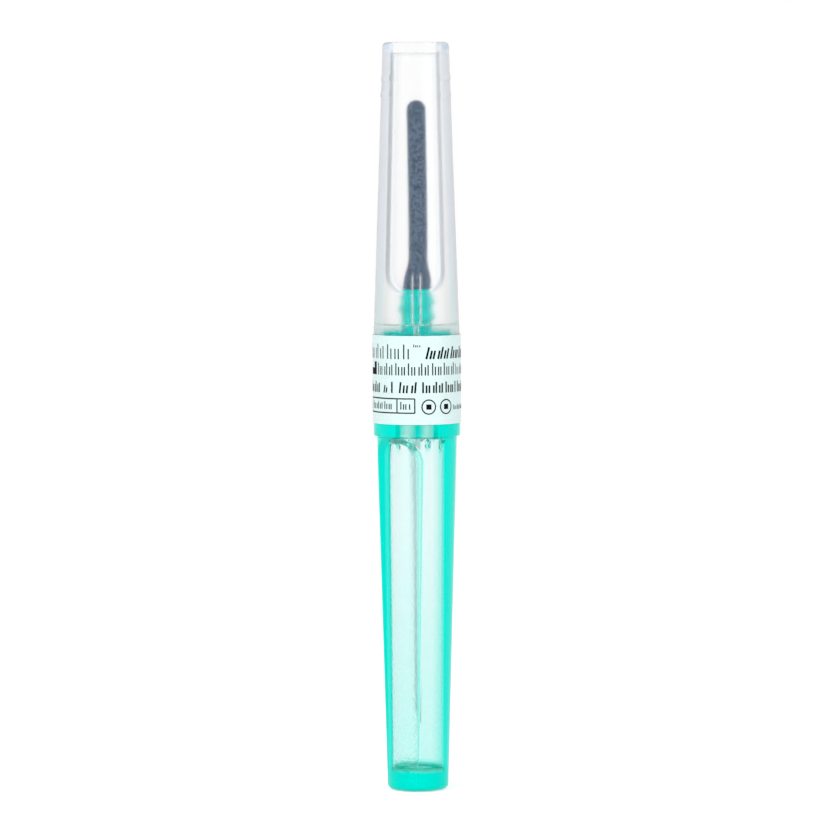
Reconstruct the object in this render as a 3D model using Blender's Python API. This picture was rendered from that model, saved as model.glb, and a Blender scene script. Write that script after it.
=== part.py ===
"""Multi-sample blood collection needle, closed in its two caps and standing on the front cap's flat end.

Metres, +Z up along the needle, origin in the middle of the front cap's flat end. The patient's end of the
needle points down into the front cap, the tube end with its rubber sleeve points up into the rear cap, and
the screw hub between them hangs by its flange on the front cap's rim. Angles about the needle are counted
from the front (-Y) towards +X.
"""

import math

import bmesh
import bpy
from mathutils import Matrix, Vector

# Clearances
SEAT_GAP = 0.00005
SLIDE_CLEARANCE = 0.00005
BOND_GAP = 0.00003
CUT_OVERREACH = 0.0005

# Cannula: one steel tube, ground to a point at both ends
NEEDLE_DIAMETER = 0.00082
NEEDLE_BORE = 0.00051
NEEDLE_REACH = 0.0380
NEEDLE_REAR_REACH = 0.0170
BEVEL_ANGLE = math.radians(14.0)
LANCET_ANGLE = math.radians(19.0)
LANCET_TURN = math.radians(34.0)
LANCET_SHARE = 0.45
BEVEL_FACING = math.radians(-70.0)
REAR_BEVEL_ANGLE = math.radians(19.0)

# Hub: screw boss above the flange, ribbed barrel below it
BARREL_RADIUS = 0.00310
BARREL_LENGTH = 0.0082
NOSE_RADIUS = 0.00215
NOSE_TAPER_LENGTH = 0.0016
GLUE_WELL_RADIUS = 0.00115
GLUE_WELL_DEPTH = 0.0018
BEAD_CLIMB = 0.00054
BEAD_DIP = 0.00022
BEAD_CONE_SHARE = 0.8
DRIVE_RIB_COUNT = 12
DRIVE_RIB_HEIGHT = 0.00035
DRIVE_RIB_WIDTH = 0.00055
DRIVE_RIB_LEAD = 0.0009
FLANGE_THICKNESS = 0.0012
FLANGE_EDGE_ROUND = 0.00025
NECK_LENGTH = 0.0008
THREAD_ROOT_RADIUS = 0.00186
THREAD_DEPTH = 0.00036
THREAD_PITCH = 0.0017
THREAD_TURNS = 1.8
THREAD_ROOT_WIDTH = 0.00095
THREAD_CREST_WIDTH = 0.00030
THREAD_FADE_SHARE = 0.12
THREAD_BLUNT_SHARE = 0.1
BOSS_END_MARGIN = 0.0001
BOSS_END_CHAMFER = 0.00025
NIPPLE_LENGTH = 0.0034
NIPPLE_BASE_RADIUS = 0.00125
NIPPLE_TIP_RADIUS = 0.00074
NIPPLE_BARB_HEIGHT = 0.00012
NIPPLE_BARB_SHARE = 0.75

# Rubber sleeve over the tube end
SLEEVE_WALL = 0.00045
SLEEVE_RADIUS = 0.00112
SLEEVE_END_WALL = 0.0009
SLEEVE_TIP_ROOM = 0.0013
SLEEVE_FOOT_LENGTH = 0.0006
SLEEVE_FOOT_RADIUS = 0.00165
SLEEVE_FLARE_STEPS = 5

# Front cap: long tapered shield with two sunk grip panels
CAP_FLOOR = 0.00172
FLOOR_BOSS_HEIGHT = 0.0008
FLOOR_BOSS_RADIUS = 0.0017
TIP_ROOM = 0.0053
FRONT_BORE_END_RADIUS = 0.00300
FRONT_WALL_END = 0.00065
FRONT_WALL_TOP = 0.00157
FRONT_PANEL_WALL_END = 0.00063
FRONT_PANEL_WALL_TOP = 0.00086
FRONT_PANEL_HALF_ANGLE = math.radians(38.0)
FRONT_PANEL_FACING = math.radians(-38.0)
FRONT_PANEL_CORNER = 0.0023
FRONT_PANEL_MARGIN = 0.00012
SPIGOT_LENGTH = 0.00495
SPIGOT_WALL = 0.00088
COLLAR_LENGTH = 0.0064
COLLAR_CHAMFER = 0.00018
FRONT_END_ROUND = 0.0006
FLOOR_ROUND = 0.0004
SPLINE_FLARE_LENGTH = 0.0016
SPLINE_FLARE_START = 0.0002
SPLINE_ROOT_WIDTH = 0.00072
SPLINE_CREST_WIDTH = 0.00030
SPLINE_LEAD = 0.0006
SPLINE_PHASE = math.radians(-10.0)
RIB_CLEARANCE = 0.00012

# Rear cap: clear cover with the same sunk panels, two low rings and four guide ribs inside
MOUTH_WALL = 0.00058
MOUTH_CHAMFER = 0.00015
CRUSH_RIB_HEIGHT = 0.00010
CRUSH_RIB_WIDTH = 0.00055
CRUSH_CREST_SHARE = 0.6
REAR_RIB_COUNT = 4
FLANGE_ROOM = 0.0008
STEP_WIDTH = 0.00055
GUIDE_RIB_LENGTH = 0.0063
GUIDE_RIB_WIDTH = 0.00100
GUIDE_CREST_SHARE = 0.86
GUIDE_RIB_FOOT = 0.00025
REAR_BORE_END_RADIUS = 0.00300
REAR_WALL_END = 0.00095
REAR_PANEL_WALL = 0.00065
REAR_PANEL_HALF_ANGLE = math.radians(42.0)
REAR_PANEL_FACING = math.radians(-2.6)
REAR_PANEL_CORNER = 0.0024
REAR_PANEL_RISE = 0.0040
SLEEVE_ROOM = 0.0056
REAR_END_WALL = 0.0013
REAR_END_ROUND = 0.0005
REAR_BORE_ROUND = 0.0006
TAPER_START_DROP = 0.0024
GRIP_RING_HEIGHT = 0.00007
GRIP_RING_LENGTH = 0.0009
GRIP_RING_RISE_SHARE = 0.15
GRIP_RING_FLAT_SHARE = 0.6
GRIP_RING_DROPS = (0.0037, 0.0057)

# Label: a paper strip wrapped once round both caps, its end glued over its start
LABEL_THICKNESS = 0.00008
LABEL_LENGTH = 0.01057
LABEL_LOW_MARGIN = 0.00158
LABEL_OVERLAP = math.radians(26.0)
LABEL_LIFT = math.radians(9.0)
LABEL_SEAM = math.radians(165.0)

# Facets
CAP_SEGMENTS = 60
HUB_SEGMENTS = 48
SLEEVE_SEGMENTS = 32
NEEDLE_SEGMENTS = 20
BEAD_SEGMENTS = 20
BEAD_STEPS = 5
THREAD_STEPS_A_TURN = 28

# Heights along the needle, from the front cap's flat end up
boss_top_z = CAP_FLOOR + FLOOR_BOSS_HEIGHT
tip_z = boss_top_z + TIP_ROOM
nose_z = tip_z + NEEDLE_REACH
flange_low_z = nose_z + BARREL_LENGTH
flange_top_z = flange_low_z + FLANGE_THICKNESS
thread_low_z = flange_top_z + NECK_LENGTH
boss_end_z = thread_low_z + THREAD_TURNS * THREAD_PITCH + THREAD_ROOT_WIDTH + BOSS_END_MARGIN
nipple_top_z = boss_end_z + NIPPLE_LENGTH
rear_tip_z = nipple_top_z + NEEDLE_REAR_REACH
sleeve_top_z = rear_tip_z + SLEEVE_TIP_ROOM + SLEEVE_END_WALL
rim_z = flange_low_z - SEAT_GAP
shoulder_z = rim_z - SPIGOT_LENGTH
collar_z = shoulder_z - COLLAR_LENGTH
mouth_z = shoulder_z + SEAT_GAP
step_z = flange_top_z + FLANGE_ROOM
rear_floor_z = sleeve_top_z + SLEEVE_ROOM
top_z = rear_floor_z + REAR_END_WALL

# Radii that fit one another, from the needle outwards
needle_radius = NEEDLE_DIAMETER / 2
hub_bore_radius = needle_radius + BOND_GAP
rib_tip_radius = BARREL_RADIUS + DRIVE_RIB_HEIGHT
spline_crest_radius = BARREL_RADIUS + RIB_CLEARANCE
mouth_bore_radius = rib_tip_radius + RIB_CLEARANCE
spigot_radius = mouth_bore_radius + SPIGOT_WALL
counterbore_radius = spigot_radius + CRUSH_RIB_HEIGHT + SLIDE_CLEARANCE
collar_radius = counterbore_radius + MOUTH_WALL
front_end_radius = FRONT_BORE_END_RADIUS + FRONT_WALL_END
front_top_radius = spline_crest_radius + FRONT_WALL_TOP
rear_end_radius = REAR_BORE_END_RADIUS + REAR_WALL_END
rear_bore_radius = counterbore_radius - STEP_WIDTH
taper_z = step_z - TAPER_START_DROP
label_radius = collar_radius + BOND_GAP


def between(start, end, share):
    """The value a share of the way from start to end."""
    return start + (end - start) * share


def point(radius, angle, z):
    """A point at an angle about the needle."""
    return Vector((radius * math.sin(angle), -radius * math.cos(angle), z))


def even_angles(count):
    """Angles that share a full turn evenly."""
    return [math.tau * i / count for i in range(count)]


def arc(centre, radius, start, end, steps):
    """Points (radius, z) of a rounded edge in section, its angles counted from outward to up."""
    turns = [math.radians(between(start, end, i / steps)) for i in range(steps + 1)]
    return [(centre[0] + radius * math.cos(a), centre[1] + radius * math.sin(a)) for a in turns]


def clear_scene():
    """Remove whatever the open file holds."""
    for thing in list(bpy.data.objects):
        bpy.data.objects.remove(thing, do_unlink=True)


def plastic(name, colour, roughness, transmission=0.0, metallic=0.0):
    """A Principled material."""
    material = bpy.data.materials.new(name)
    material.use_nodes = True
    shader = material.node_tree.nodes["Principled BSDF"]
    shader.inputs["Base Color"].default_value = (*colour, 1.0)
    shader.inputs["Roughness"].default_value = roughness
    shader.inputs["Metallic"].default_value = metallic
    shader.inputs["Transmission Weight"].default_value = transmission
    material.diffuse_color = (*colour, 1.0)
    return material


def skin(name, rings, loop=False):
    """A closed solid through rings of points, each with as many points, with flat ends or joined in a loop."""
    shape = bmesh.new()
    grid = bridged(shape, rings, loop)
    if not loop:
        shape.faces.new(grid[0])
        shape.faces.new(grid[-1])
    return solid_object(name, shape)


def bridged(shape, rings, loop=False):
    """Adds rings of points to a bmesh with faces from each ring to the next, and gives back the points."""
    grid = [[shape.verts.new(place) for place in ring] for ring in rings]
    pairs = list(zip(grid, grid[1:]))
    if loop:
        pairs.append((grid[-1], grid[0]))
    count = len(grid[0])
    for low, high in pairs:
        for i in range(count):
            j = (i + 1) % count
            shape.faces.new((low[i], low[j], high[j], high[i]))
    return grid


def solid_object(name, shape):
    """A scene object from a bmesh, its faces turned outward."""
    bmesh.ops.recalc_face_normals(shape, faces=shape.faces)
    mesh = bpy.data.meshes.new(name)
    shape.to_mesh(mesh)
    shape.free()
    thing = bpy.data.objects.new(name, mesh)
    bpy.context.collection.objects.link(thing)
    return thing


def turned(name, profile, segments, loop=False):
    """A turned solid from a profile of (radius, z)."""
    angles = even_angles(segments)
    return skin(name, [[point(radius, a, z) for a in angles] for radius, z in profile], loop)


def combine(body, tool, operation):
    """Join a shape to a body, or cut it from the body, and keep the shape as a hidden guide."""
    step = body.modifiers.new(tool.name, "BOOLEAN")
    step.operation = operation
    step.solver = "EXACT"
    step.object = tool
    tool.hide_render = True
    tool.display_type = "WIRE"


def finish(thing, material, seat_z, carrier=None):
    """Give a piece its material, a smooth look and an origin at its seat on the needle's axis."""
    thing.data.transform(Matrix.Translation((0, 0, -seat_z)))
    thing.location = (0, 0, seat_z)
    thing.data.materials.append(material)
    thing.data.shade_smooth()
    thing.data.set_sharp_from_angle(angle=math.radians(30))
    if carrier:
        thing.parent = carrier
        thing.matrix_parent_inverse = Matrix.Translation((0, 0, -carrier.location.z))


def carrier_at(name, z):
    """An empty on the axis that carries the pieces of one moving group."""
    carrier = bpy.data.objects.new(name, None)
    carrier.empty_display_size = NEEDLE_DIAMETER
    carrier.location = (0, 0, z)
    bpy.context.collection.objects.link(carrier)
    return carrier


def rib_angles(count, phase, edges, filler):
    """Angles about the axis with points on every edge of each rib, and filler points between the ribs."""
    pitch = math.tau / count
    marks = sorted([-edge for edge in edges] + list(edges))
    gap = (pitch - 2 * max(edges)) / (filler + 1)
    marks += [max(edges) + gap * (i + 1) for i in range(filler)]
    return [phase + pitch * k + mark for k in range(count) for mark in marks], len(marks)


def panel_cutter(name, facing, half_angle, corner, open_z, end_z, floor_radius, skin_radius):
    """The tool that sinks one grip panel into a cap.

    The panel runs from the cap's closed end, at open_z, to a rounded end at end_z. floor_radius(z) is the
    panel's floor and skin_radius(z) the cap's outside, and the sides slope out at 45 degrees.
    """
    overreach = SLIDE_CLEARANCE
    along = math.copysign(1.0, end_z - open_z)
    arc_steps, straight_steps, columns = 7, 4, 14
    bend_z = end_z - along * corner
    stations = [(between(open_z, bend_z, i / straight_steps), 0.0) for i in range(straight_steps)]
    stations += [(bend_z, math.radians(90.0 * i / arc_steps)) for i in range(arc_steps + 1)]
    floor_rows, outer_rows = [], []
    for z, bend in stations:
        for rows, layer in ((floor_rows, 0), (outer_rows, 1)):
            spread = layer * (skin_radius(z) + overreach - floor_radius(z))
            row_z = z + along * (corner + spread) * math.sin(bend)
            radius = (skin_radius(row_z) + overreach) if layer else floor_radius(row_z)
            half_width = half_angle * floor_radius(z) - corner + (corner + spread) * math.cos(bend)
            reach = half_width / radius
            turns = [between(-reach, reach, i / columns) for i in range(columns + 1)]
            rows.append([point(radius, facing + turn, row_z) for turn in turns])
    rings = [low + high[::-1] for low, high in zip(floor_rows, outer_rows)]
    shape = bmesh.new()
    grid = bridged(shape, rings)
    count = len(grid[0])
    for ring in (grid[0], grid[-1]):
        for i in range(columns):
            shape.faces.new((ring[i], ring[i + 1], ring[count - 2 - i], ring[count - 1 - i]))
    return solid_object(name, shape)


def front_skin(z):
    """The front cap's outer radius below its collar."""
    return between(front_end_radius, front_top_radius, z / collar_z)


def front_panel_floor(z):
    """The radius of the front cap's panel floor."""
    low = FRONT_BORE_END_RADIUS + FRONT_PANEL_WALL_END
    high = spline_crest_radius + FRONT_PANEL_WALL_TOP
    return between(low, high, z / collar_z)


def front_core():
    """The front cap's hollow: a tapered bore over a small floor boss, and splines in its mouth."""
    edges = (SPLINE_CREST_WIDTH / 2 / spline_crest_radius, SPLINE_ROOT_WIDTH / 2 / mouth_bore_radius)
    angles, marks = rib_angles(DRIVE_RIB_COUNT, SPLINE_PHASE, edges, 1)
    crest = {1, 2}
    flare_z = collar_z - SPLINE_FLARE_LENGTH - SPLINE_FLARE_START

    def ring(radius, z, crest_radius=None):
        radii = [crest_radius if crest_radius and i % marks in crest else radius for i in range(len(angles))]
        return [point(r, a, z) for r, a in zip(radii, angles)]

    floor_corner = (FRONT_BORE_END_RADIUS - FLOOR_ROUND, CAP_FLOOR + FLOOR_ROUND)
    rings = [ring(FLOOR_BOSS_RADIUS, boss_top_z), ring(FLOOR_BOSS_RADIUS, CAP_FLOOR)]
    rings += [ring(r, z) for r, z in arc(floor_corner, FLOOR_ROUND, -90, 0, 3)]
    rings += [
        ring(spline_crest_radius, flare_z),
        ring(mouth_bore_radius, flare_z + SPLINE_FLARE_LENGTH, spline_crest_radius),
        ring(mouth_bore_radius, rim_z - 2 * SPLINE_LEAD, spline_crest_radius),
        ring(mouth_bore_radius, rim_z - SPLINE_LEAD),
        ring(mouth_bore_radius, rim_z - MOUTH_CHAMFER),
        ring(mouth_bore_radius + MOUTH_CHAMFER, rim_z),
        ring(mouth_bore_radius + MOUTH_CHAMFER, rim_z + CUT_OVERREACH),
    ]
    return skin("front_cap_core", rings)


def front_cap(material):
    """The long shield over the patient's end, with the collar and the spigot that carry the hub and rear cap."""
    end_corner = (front_skin(FRONT_END_ROUND) - FRONT_END_ROUND, FRONT_END_ROUND)
    profile = arc(end_corner, FRONT_END_ROUND, -90, 0, 4)
    profile += [
        (front_top_radius, collar_z),
        (collar_radius - COLLAR_CHAMFER, collar_z),
        (collar_radius, collar_z + COLLAR_CHAMFER),
        (collar_radius, shoulder_z),
        (spigot_radius, shoulder_z),
        (spigot_radius, rim_z - MOUTH_CHAMFER),
        (spigot_radius - MOUTH_CHAMFER, rim_z),
    ]
    cap = turned("front_cap", profile, CAP_SEGMENTS)
    combine(cap, front_core(), "DIFFERENCE")
    depth = front_skin(collar_z) - front_panel_floor(collar_z)
    end_z = collar_z - FRONT_PANEL_MARGIN - depth
    for side in range(2):
        facing = FRONT_PANEL_FACING + math.pi * side
        cutter = panel_cutter(f"front_panel_{side}", facing, FRONT_PANEL_HALF_ANGLE, FRONT_PANEL_CORNER,
                              -CUT_OVERREACH, end_z, front_panel_floor, front_skin)
        combine(cap, cutter, "DIFFERENCE")
    finish(cap, material, 0.0)
    return cap


def rear_skin(z):
    """The rear cap's outer radius above its mouth, without its rings."""
    return between(collar_radius, rear_end_radius, (z - taper_z) / (top_z - taper_z))


def rear_bore(z):
    """The rear cap's inner radius above its step."""
    return between(rear_bore_radius, REAR_BORE_END_RADIUS, (z - step_z) / (rear_floor_z - step_z))


def rear_panel_floor(z):
    """The radius of the rear cap's panel floor."""
    return rear_bore(z) + REAR_PANEL_WALL


def rear_core():
    """The rear cap's hollow: a counterbore with crush ribs, a step, and a tapered bore with guide ribs."""
    crush_half = CRUSH_RIB_WIDTH / 2 / counterbore_radius
    guide_half = GUIDE_RIB_WIDTH / 2 / rear_bore_radius
    edges = (crush_half * CRUSH_CREST_SHARE, crush_half, guide_half * GUIDE_CREST_SHARE, guide_half)
    angles, marks = rib_angles(REAR_RIB_COUNT, 0.0, edges, 7)
    crush, guide = {3, 4}, {1, 2, 3, 4, 5, 6}
    guide_end_z = step_z + GUIDE_RIB_LENGTH
    guide_crest = rear_bore(guide_end_z)

    def ring(radius, z, crest=(), crest_radius=None):
        radii = [crest_radius if i % marks in crest else radius for i in range(len(angles))]
        return [point(r, a, z) for r, a in zip(radii, angles)]

    crush_crest = counterbore_radius - CRUSH_RIB_HEIGHT
    end_corner = (rear_bore(rear_floor_z) - REAR_BORE_ROUND, rear_floor_z - REAR_BORE_ROUND)
    rings = [
        ring(counterbore_radius + MOUTH_CHAMFER, mouth_z - CUT_OVERREACH),
        ring(counterbore_radius + MOUTH_CHAMFER, mouth_z),
        ring(counterbore_radius, mouth_z + MOUTH_CHAMFER),
        ring(counterbore_radius, mouth_z + 2 * MOUTH_CHAMFER),
        ring(counterbore_radius, mouth_z + 4 * MOUTH_CHAMFER, crush, crush_crest),
        ring(counterbore_radius, step_z, crush, crush_crest),
        ring(rear_bore_radius, step_z),
        ring(rear_bore(step_z + GUIDE_RIB_FOOT), step_z + GUIDE_RIB_FOOT, guide, guide_crest),
        ring(guide_crest, guide_end_z),
    ]
    rings += [ring(r, z) for r, z in arc(end_corner, REAR_BORE_ROUND, 0, 90, 4)]
    return skin("rear_cap_core", rings)


def rear_cap(material, carrier):
    """The clear cover over the sleeved end, twisted and pulled off first."""
    end_radius = rear_skin(top_z - REAR_END_ROUND)
    profile = [
        (collar_radius - MOUTH_CHAMFER, mouth_z),
        (collar_radius, mouth_z + MOUTH_CHAMFER),
        (collar_radius, taper_z),
    ]
    for drop in sorted(GRIP_RING_DROPS, reverse=True):
        low_z = top_z - drop - GRIP_RING_LENGTH
        for share, height in ((0.0, 0.0), (GRIP_RING_RISE_SHARE, GRIP_RING_HEIGHT),
                              (GRIP_RING_FLAT_SHARE, GRIP_RING_HEIGHT), (1.0, 0.0)):
            z = low_z + share * GRIP_RING_LENGTH
            profile.append((rear_skin(z) + height, z))
    profile += arc((end_radius - REAR_END_ROUND, top_z - REAR_END_ROUND), REAR_END_ROUND, 0, 90, 4)
    cap = turned("rear_cap", profile, CAP_SEGMENTS)
    combine(cap, rear_core(), "DIFFERENCE")
    end_z = step_z + REAR_PANEL_RISE
    for side in range(2):
        facing = REAR_PANEL_FACING + math.pi * side
        cutter = panel_cutter(f"rear_panel_{side}", facing, REAR_PANEL_HALF_ANGLE, REAR_PANEL_CORNER,
                              top_z + CUT_OVERREACH, end_z, rear_panel_floor,
                              lambda z: rear_skin(z) + GRIP_RING_HEIGHT)
        combine(cap, cutter, "DIFFERENCE")
    finish(cap, material, mouth_z, carrier)
    return cap


def hub_thread():
    """The single-start ridge that screws the hub into a tube holder, fading out at both ends."""
    steps = round(THREAD_TURNS * THREAD_STEPS_A_TURN)
    rings = []
    for i in range(steps + 1):
        share = i / steps
        z = thread_low_z + THREAD_ROOT_WIDTH / 2 + share * THREAD_TURNS * THREAD_PITCH
        angle = math.tau * THREAD_TURNS * share
        rise = min(1.0, share / THREAD_FADE_SHARE, (1 - share) / THREAD_FADE_SHARE)
        crest = THREAD_ROOT_RADIUS + THREAD_DEPTH * between(THREAD_BLUNT_SHARE, 1.0, rise)
        sunk = THREAD_ROOT_RADIUS - THREAD_DEPTH / 2
        section = ((sunk, -THREAD_ROOT_WIDTH / 2), (crest, -THREAD_CREST_WIDTH / 2),
                   (crest, THREAD_CREST_WIDTH / 2), (sunk, THREAD_ROOT_WIDTH / 2))
        rings.append([point(r, angle, z + dz) for r, dz in section])
    return skin("hub_thread", rings)


def hub_ribs():
    """The ribs on the barrel that the front cap's splines turn, each with a tapered lower end."""
    low_z = nose_z + NOSE_TAPER_LENGTH
    sunk = BARREL_RADIUS - DRIVE_RIB_HEIGHT
    shape = bmesh.new()
    for k in range(DRIVE_RIB_COUNT):
        middle = SPLINE_PHASE + math.tau * (k + 0.5) / DRIVE_RIB_COUNT
        turn = Matrix.Rotation(middle, 3, "Z")
        corners = []
        for x in (-DRIVE_RIB_WIDTH / 2, DRIVE_RIB_WIDTH / 2):
            for radius, z in ((sunk, low_z), (BARREL_RADIUS, low_z), (rib_tip_radius, low_z + DRIVE_RIB_LEAD),
                              (rib_tip_radius, flange_low_z + SEAT_GAP), (sunk, flange_low_z + SEAT_GAP)):
                corners.append(shape.verts.new(turn @ Vector((x, -radius, z))))
        near, far = corners[:5], corners[5:]
        shape.faces.new(near)
        shape.faces.new(far)
        for i in range(5):
            j = (i + 1) % 5
            shape.faces.new((near[i], near[j], far[j], far[i]))
    return solid_object("hub_ribs", shape)


def hub(material, carrier):
    """The one-piece screw hub: glue well, ribbed barrel, flange, threaded boss and barbed nipple."""
    profile = [
        (hub_bore_radius, nose_z + GLUE_WELL_DEPTH),
        (GLUE_WELL_RADIUS, nose_z + GLUE_WELL_DEPTH / 2),
        (GLUE_WELL_RADIUS, nose_z),
        (NOSE_RADIUS, nose_z),
        (BARREL_RADIUS, nose_z + NOSE_TAPER_LENGTH),
        (BARREL_RADIUS, flange_low_z),
        (spigot_radius, flange_low_z),
    ]
    round_centre = (spigot_radius - FLANGE_EDGE_ROUND, flange_top_z - FLANGE_EDGE_ROUND)
    profile += arc(round_centre, FLANGE_EDGE_ROUND, 0, 90, 3)
    barb_z = between(boss_end_z, nipple_top_z, NIPPLE_BARB_SHARE)
    barb_root = between(NIPPLE_BASE_RADIUS, NIPPLE_TIP_RADIUS, NIPPLE_BARB_SHARE)
    profile += [
        (THREAD_ROOT_RADIUS, flange_top_z),
        (THREAD_ROOT_RADIUS, boss_end_z - BOSS_END_CHAMFER),
        (THREAD_ROOT_RADIUS - BOSS_END_CHAMFER, boss_end_z),
        (NIPPLE_BASE_RADIUS, boss_end_z),
        (barb_root, barb_z),
        (barb_root + NIPPLE_BARB_HEIGHT, barb_z),
        (NIPPLE_TIP_RADIUS, nipple_top_z),
        (hub_bore_radius, nipple_top_z),
    ]
    body = turned("hub", profile, HUB_SEGMENTS, loop=True)
    combine(body, hub_ribs(), "UNION")
    combine(body, hub_thread(), "UNION")
    finish(body, material, flange_low_z, carrier)
    return body


def grinding_block(name, tip_z, facing, angle, along, start):
    """A block whose one face is a ground facet of a needle point.

    along is +1 for a point that looks down and -1 for one that looks up. The facet leans by angle from the
    needle's axis and crosses the tube's far wall at start, counted from the tip towards the hub.
    """
    size = NEEDLE_DIAMETER * 8
    shape = bmesh.new()
    bmesh.ops.create_cube(shape, size=size)
    bmesh.ops.translate(shape, verts=shape.verts, vec=(0, -size / 2, 0))
    lean = Matrix.Rotation(along * angle, 3, "X")
    bmesh.ops.rotate(shape, verts=shape.verts, matrix=lean)
    bmesh.ops.translate(shape, verts=shape.verts, vec=(0, needle_radius, tip_z + along * start))
    bmesh.ops.rotate(shape, verts=shape.verts, matrix=Matrix.Rotation(facing, 3, "Z"))
    return solid_object(name, shape)


def lancet_start():
    """Where the two side facets start, so that they reach their share of the first bevel's length."""
    height = LANCET_SHARE * NEEDLE_DIAMETER / math.tan(BEVEL_ANGLE)
    depth = needle_radius - height * math.tan(BEVEL_ANGLE)
    width = math.sqrt(needle_radius ** 2 - depth ** 2)
    turned_depth = depth * math.cos(LANCET_TURN) - width * math.sin(LANCET_TURN)
    return height - (needle_radius - turned_depth) / math.tan(LANCET_ANGLE)


def cannula(material, carrier):
    """The steel tube: a lancet point down for the vein, a plain ground point up for the stopper."""
    bore = NEEDLE_BORE / 2
    profile = [(bore, tip_z), (needle_radius, tip_z), (needle_radius, rear_tip_z), (bore, rear_tip_z)]
    tube = turned("cannula", profile, NEEDLE_SEGMENTS, loop=True)
    combine(tube, grinding_block("front_bevel", tip_z, BEVEL_FACING, BEVEL_ANGLE, 1, 0.0), "DIFFERENCE")
    combine(tube, grinding_block("rear_bevel", rear_tip_z, BEVEL_FACING, REAR_BEVEL_ANGLE, -1, 0.0),
            "DIFFERENCE")
    start = lancet_start()
    for side in (-1, 1):
        facing = BEVEL_FACING + side * LANCET_TURN
        block = grinding_block(f"lancet_{side + 1}", tip_z, facing, LANCET_ANGLE, 1, start)
        combine(tube, block, "DIFFERENCE")
    finish(tube, material, nose_z, carrier)
    return tube


def adhesive(material, carrier):
    """The cured glue that fills the hub's well and climbs a little way down the tube."""
    inner = hub_bore_radius
    outer = GLUE_WELL_RADIUS - BOND_GAP
    cone_z = nose_z + GLUE_WELL_DEPTH / 2 - BOND_GAP
    end_z = cone_z + BEAD_CONE_SHARE * GLUE_WELL_DEPTH / 2
    profile = [(inner, end_z)]
    for i in range(BEAD_STEPS + 1):
        share = i / BEAD_STEPS
        rise = math.sqrt(1 - (1 - share) ** 2)
        profile.append((between(inner, outer, share), nose_z + between(-BEAD_CLIMB, BEAD_DIP, rise)))
    profile += [(outer, cone_z), (between(outer, inner, BEAD_CONE_SHARE), end_z)]
    bead = turned("adhesive", profile, BEAD_SEGMENTS, loop=True)
    finish(bead, material, nose_z, carrier)
    return bead


def sleeve(material, carrier):
    """The rubber sleeve: closed and domed at the top, its foot stretched over the hub's barbed nipple."""
    foot_z = boss_end_z + SEAT_GAP
    nipple_gap = BOND_GAP + NIPPLE_BARB_HEIGHT
    bore = SLEEVE_RADIUS - SLEEVE_WALL
    inner_top_z = sleeve_top_z - SLEEVE_END_WALL
    profile = arc((0, inner_top_z - bore), bore, 80, 0, 3)
    profile += [
        (bore, nipple_top_z + SLEEVE_WALL),
        (max(bore, NIPPLE_TIP_RADIUS + nipple_gap), nipple_top_z),
        (NIPPLE_BASE_RADIUS + nipple_gap, foot_z),
        (SLEEVE_FOOT_RADIUS, foot_z),
    ]
    for i in range(SLEEVE_FLARE_STEPS + 1):
        share = i / SLEEVE_FLARE_STEPS
        ease = (1 - math.cos(math.pi * share)) / 2
        profile.append((between(SLEEVE_FOOT_RADIUS, SLEEVE_RADIUS, ease),
                        between(foot_z + SLEEVE_FOOT_LENGTH, nipple_top_z + SLEEVE_WALL, share)))
    profile += arc((0, sleeve_top_z - SLEEVE_RADIUS), SLEEVE_RADIUS, 0, 85, 5)
    cover = turned("sleeve", profile, SLEEVE_SEGMENTS)
    finish(cover, material, foot_z, carrier)
    return cover


def label(material):
    """The paper seal over the joint of the caps, its end glued over its start at the back."""
    low_z = collar_z + LABEL_LOW_MARGIN
    high_z = low_z + LABEL_LENGTH
    lifted = LABEL_THICKNESS + BOND_GAP
    step = math.tau / CAP_SEGMENTS
    count = round((math.tau + LABEL_OVERLAP) / step)
    rings = []
    for i in range(count + 1):
        turn = i * step
        rise = min(1.0, max(0.0, (turn - math.tau + LABEL_LIFT + step) / LABEL_LIFT))
        inner = label_radius + lifted * rise
        outer = inner + LABEL_THICKNESS
        angle = step * round(LABEL_SEAM / step) + turn
        rings.append([point(inner, angle, low_z), point(outer, angle, low_z),
                      point(outer, angle, high_z), point(inner, angle, high_z)])
    wrap = skin("label", rings)
    finish(wrap, material, low_z)
    return wrap


def build():
    """Put the needle together, from the front cap up."""
    clear_scene()
    teal = plastic("teal_polypropylene", (0.0, 0.78, 0.66), 0.25, transmission=0.8)
    clear = plastic("clear_polypropylene", (0.93, 0.95, 0.97), 0.2, transmission=0.9)
    hub_green = plastic("hub_polypropylene", (0.0, 0.62, 0.55), 0.35)
    steel = plastic("needle_steel", (0.62, 0.66, 0.68), 0.25, metallic=1.0)
    glue = plastic("cured_glue", (0.86, 0.90, 0.88), 0.15, transmission=0.6)
    rubber = plastic("slate_rubber", (0.075, 0.115, 0.165), 0.7)
    paper = plastic("pale_label_paper", (0.74, 0.95, 0.95), 0.55)

    front_cap(teal)
    label(paper)
    hub_group = carrier_at("hub_group", flange_low_z)
    hub(hub_green, hub_group)
    cannula(steel, hub_group)
    adhesive(glue, hub_group)
    sleeve(rubber, hub_group)
    rear_group = carrier_at("rear_group", mouth_z)
    rear_cap(clear, rear_group)


build()
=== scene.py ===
"""Multi-sample blood collection needle, closed in its two caps, in a white studio.

Metres, +Z up along the needle, the front cap's flat end at the origin. Angles about the needle are counted
from the front (-Y) towards +X. The sections follow the needle as it is put together, after the studio.
"""

import math

import bmesh
import bpy
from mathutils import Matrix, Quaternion, Vector


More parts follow.
